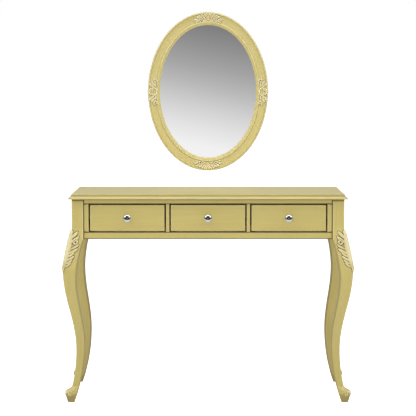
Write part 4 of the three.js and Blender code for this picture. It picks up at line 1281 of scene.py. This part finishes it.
def soft_light(name, place, target, width, height, power):
    data = bpy.data.lights.new(name, "AREA")
    data.shape = "RECTANGLE"
    data.size, data.size_y = width, height
    data.energy = power
    light = in_scene(name, data)
    light.location = place
    light.rotation_euler = (Vector(target) - Vector(place)).to_track_quat("-Z", "Y").to_euler()
    return light


def make_lights():
    soft_light("left_softbox", (-3.0, -1.6, 3.2), (0, 0, 0.75), 2.7, 2.5, 42)
    soft_light("right_softbox", (3.0, -1.6, 3.2), (0, 0, 0.75), 2.7, 2.5, 37)
    soft_light("overhead", (0, -0.9, 3.8), (0, 0.0, 0.7), 3.0, 1.2, 40)
    fill = soft_light("front_fill", (0, -6.4, 1.55), (0, 0, 0.75), 3.4, 1.4, 130)
    fill.visible_glossy = False


# What the glass reflects from the front: the brightness of a panel that darkens upwards
PANEL_LOW, PANEL_HIGH = -0.075, 0.125
PANEL_STOPS = ((0.0, 1.0), (0.125, 0.97), (0.1875, 0.84), (0.25, 0.69), (0.311, 0.535), (0.3725, 0.41),
               (0.4345, 0.318), (0.496, 0.24), (0.62, 0.14), (0.8, 0.06), (1.0, 0.03))
PANEL_SLOPE, PANEL_HALF_WIDTH, PANEL_FOOT = 0.22, 0.14, -0.16


def make_world():
    """White to the camera; a studio that darkens above the horizon in reflections; even fill elsewhere."""
    world = bpy.data.worlds.new("studio")
    bpy.context.scene.world = world
    nodes = clean_tree(world)
    place = nodes.add("ShaderNodeTexCoord").outputs["Generated"]
    direction = nodes.add("ShaderNodeSeparateXYZ", Vector=place).outputs
    rise = nodes.total(direction["Z"], (direction["X"], PANEL_SLOPE))
    panel = nodes.ramp(nodes.span(rise, PANEL_LOW, PANEL_HIGH), *PANEL_STOPS)
    wide_of_it = nodes.math("GREATER_THAN", nodes.math("ABSOLUTE", direction["X"]), PANEL_HALF_WIDTH)
    under_it = nodes.math("LESS_THAN", direction["Z"], PANEL_FOOT)
    beside = nodes.math("ADD", wide_of_it, under_it, clamp=True)
    ahead = nodes.mix(beside, panel, grey(0.06))
    back = nodes.mix(nodes.span(direction["Z"], 0.1, 0.6), grey(0.62), grey(0.12))
    reflected = nodes.mix(nodes.span(direction["Y"], -0.15, 0.35), ahead, back)
    path = nodes.add("ShaderNodeLightPath").outputs
    fill = nodes.mix(path["Is Glossy Ray"], grey(0.33), reflected)
    colour = nodes.mix(path["Is Camera Ray"], fill, grey(1))
    background = nodes.add("ShaderNodeBackground", Color=colour, Strength=1.0)
    nodes.add("ShaderNodeOutputWorld", Surface=background.outputs[0])


make_camera()
make_top()
make_case()
make_legs()
make_drawers()
make_mirror()
make_floor()
make_lights()
make_world()
bpy.context.scene.view_settings.view_transform = "Standard"
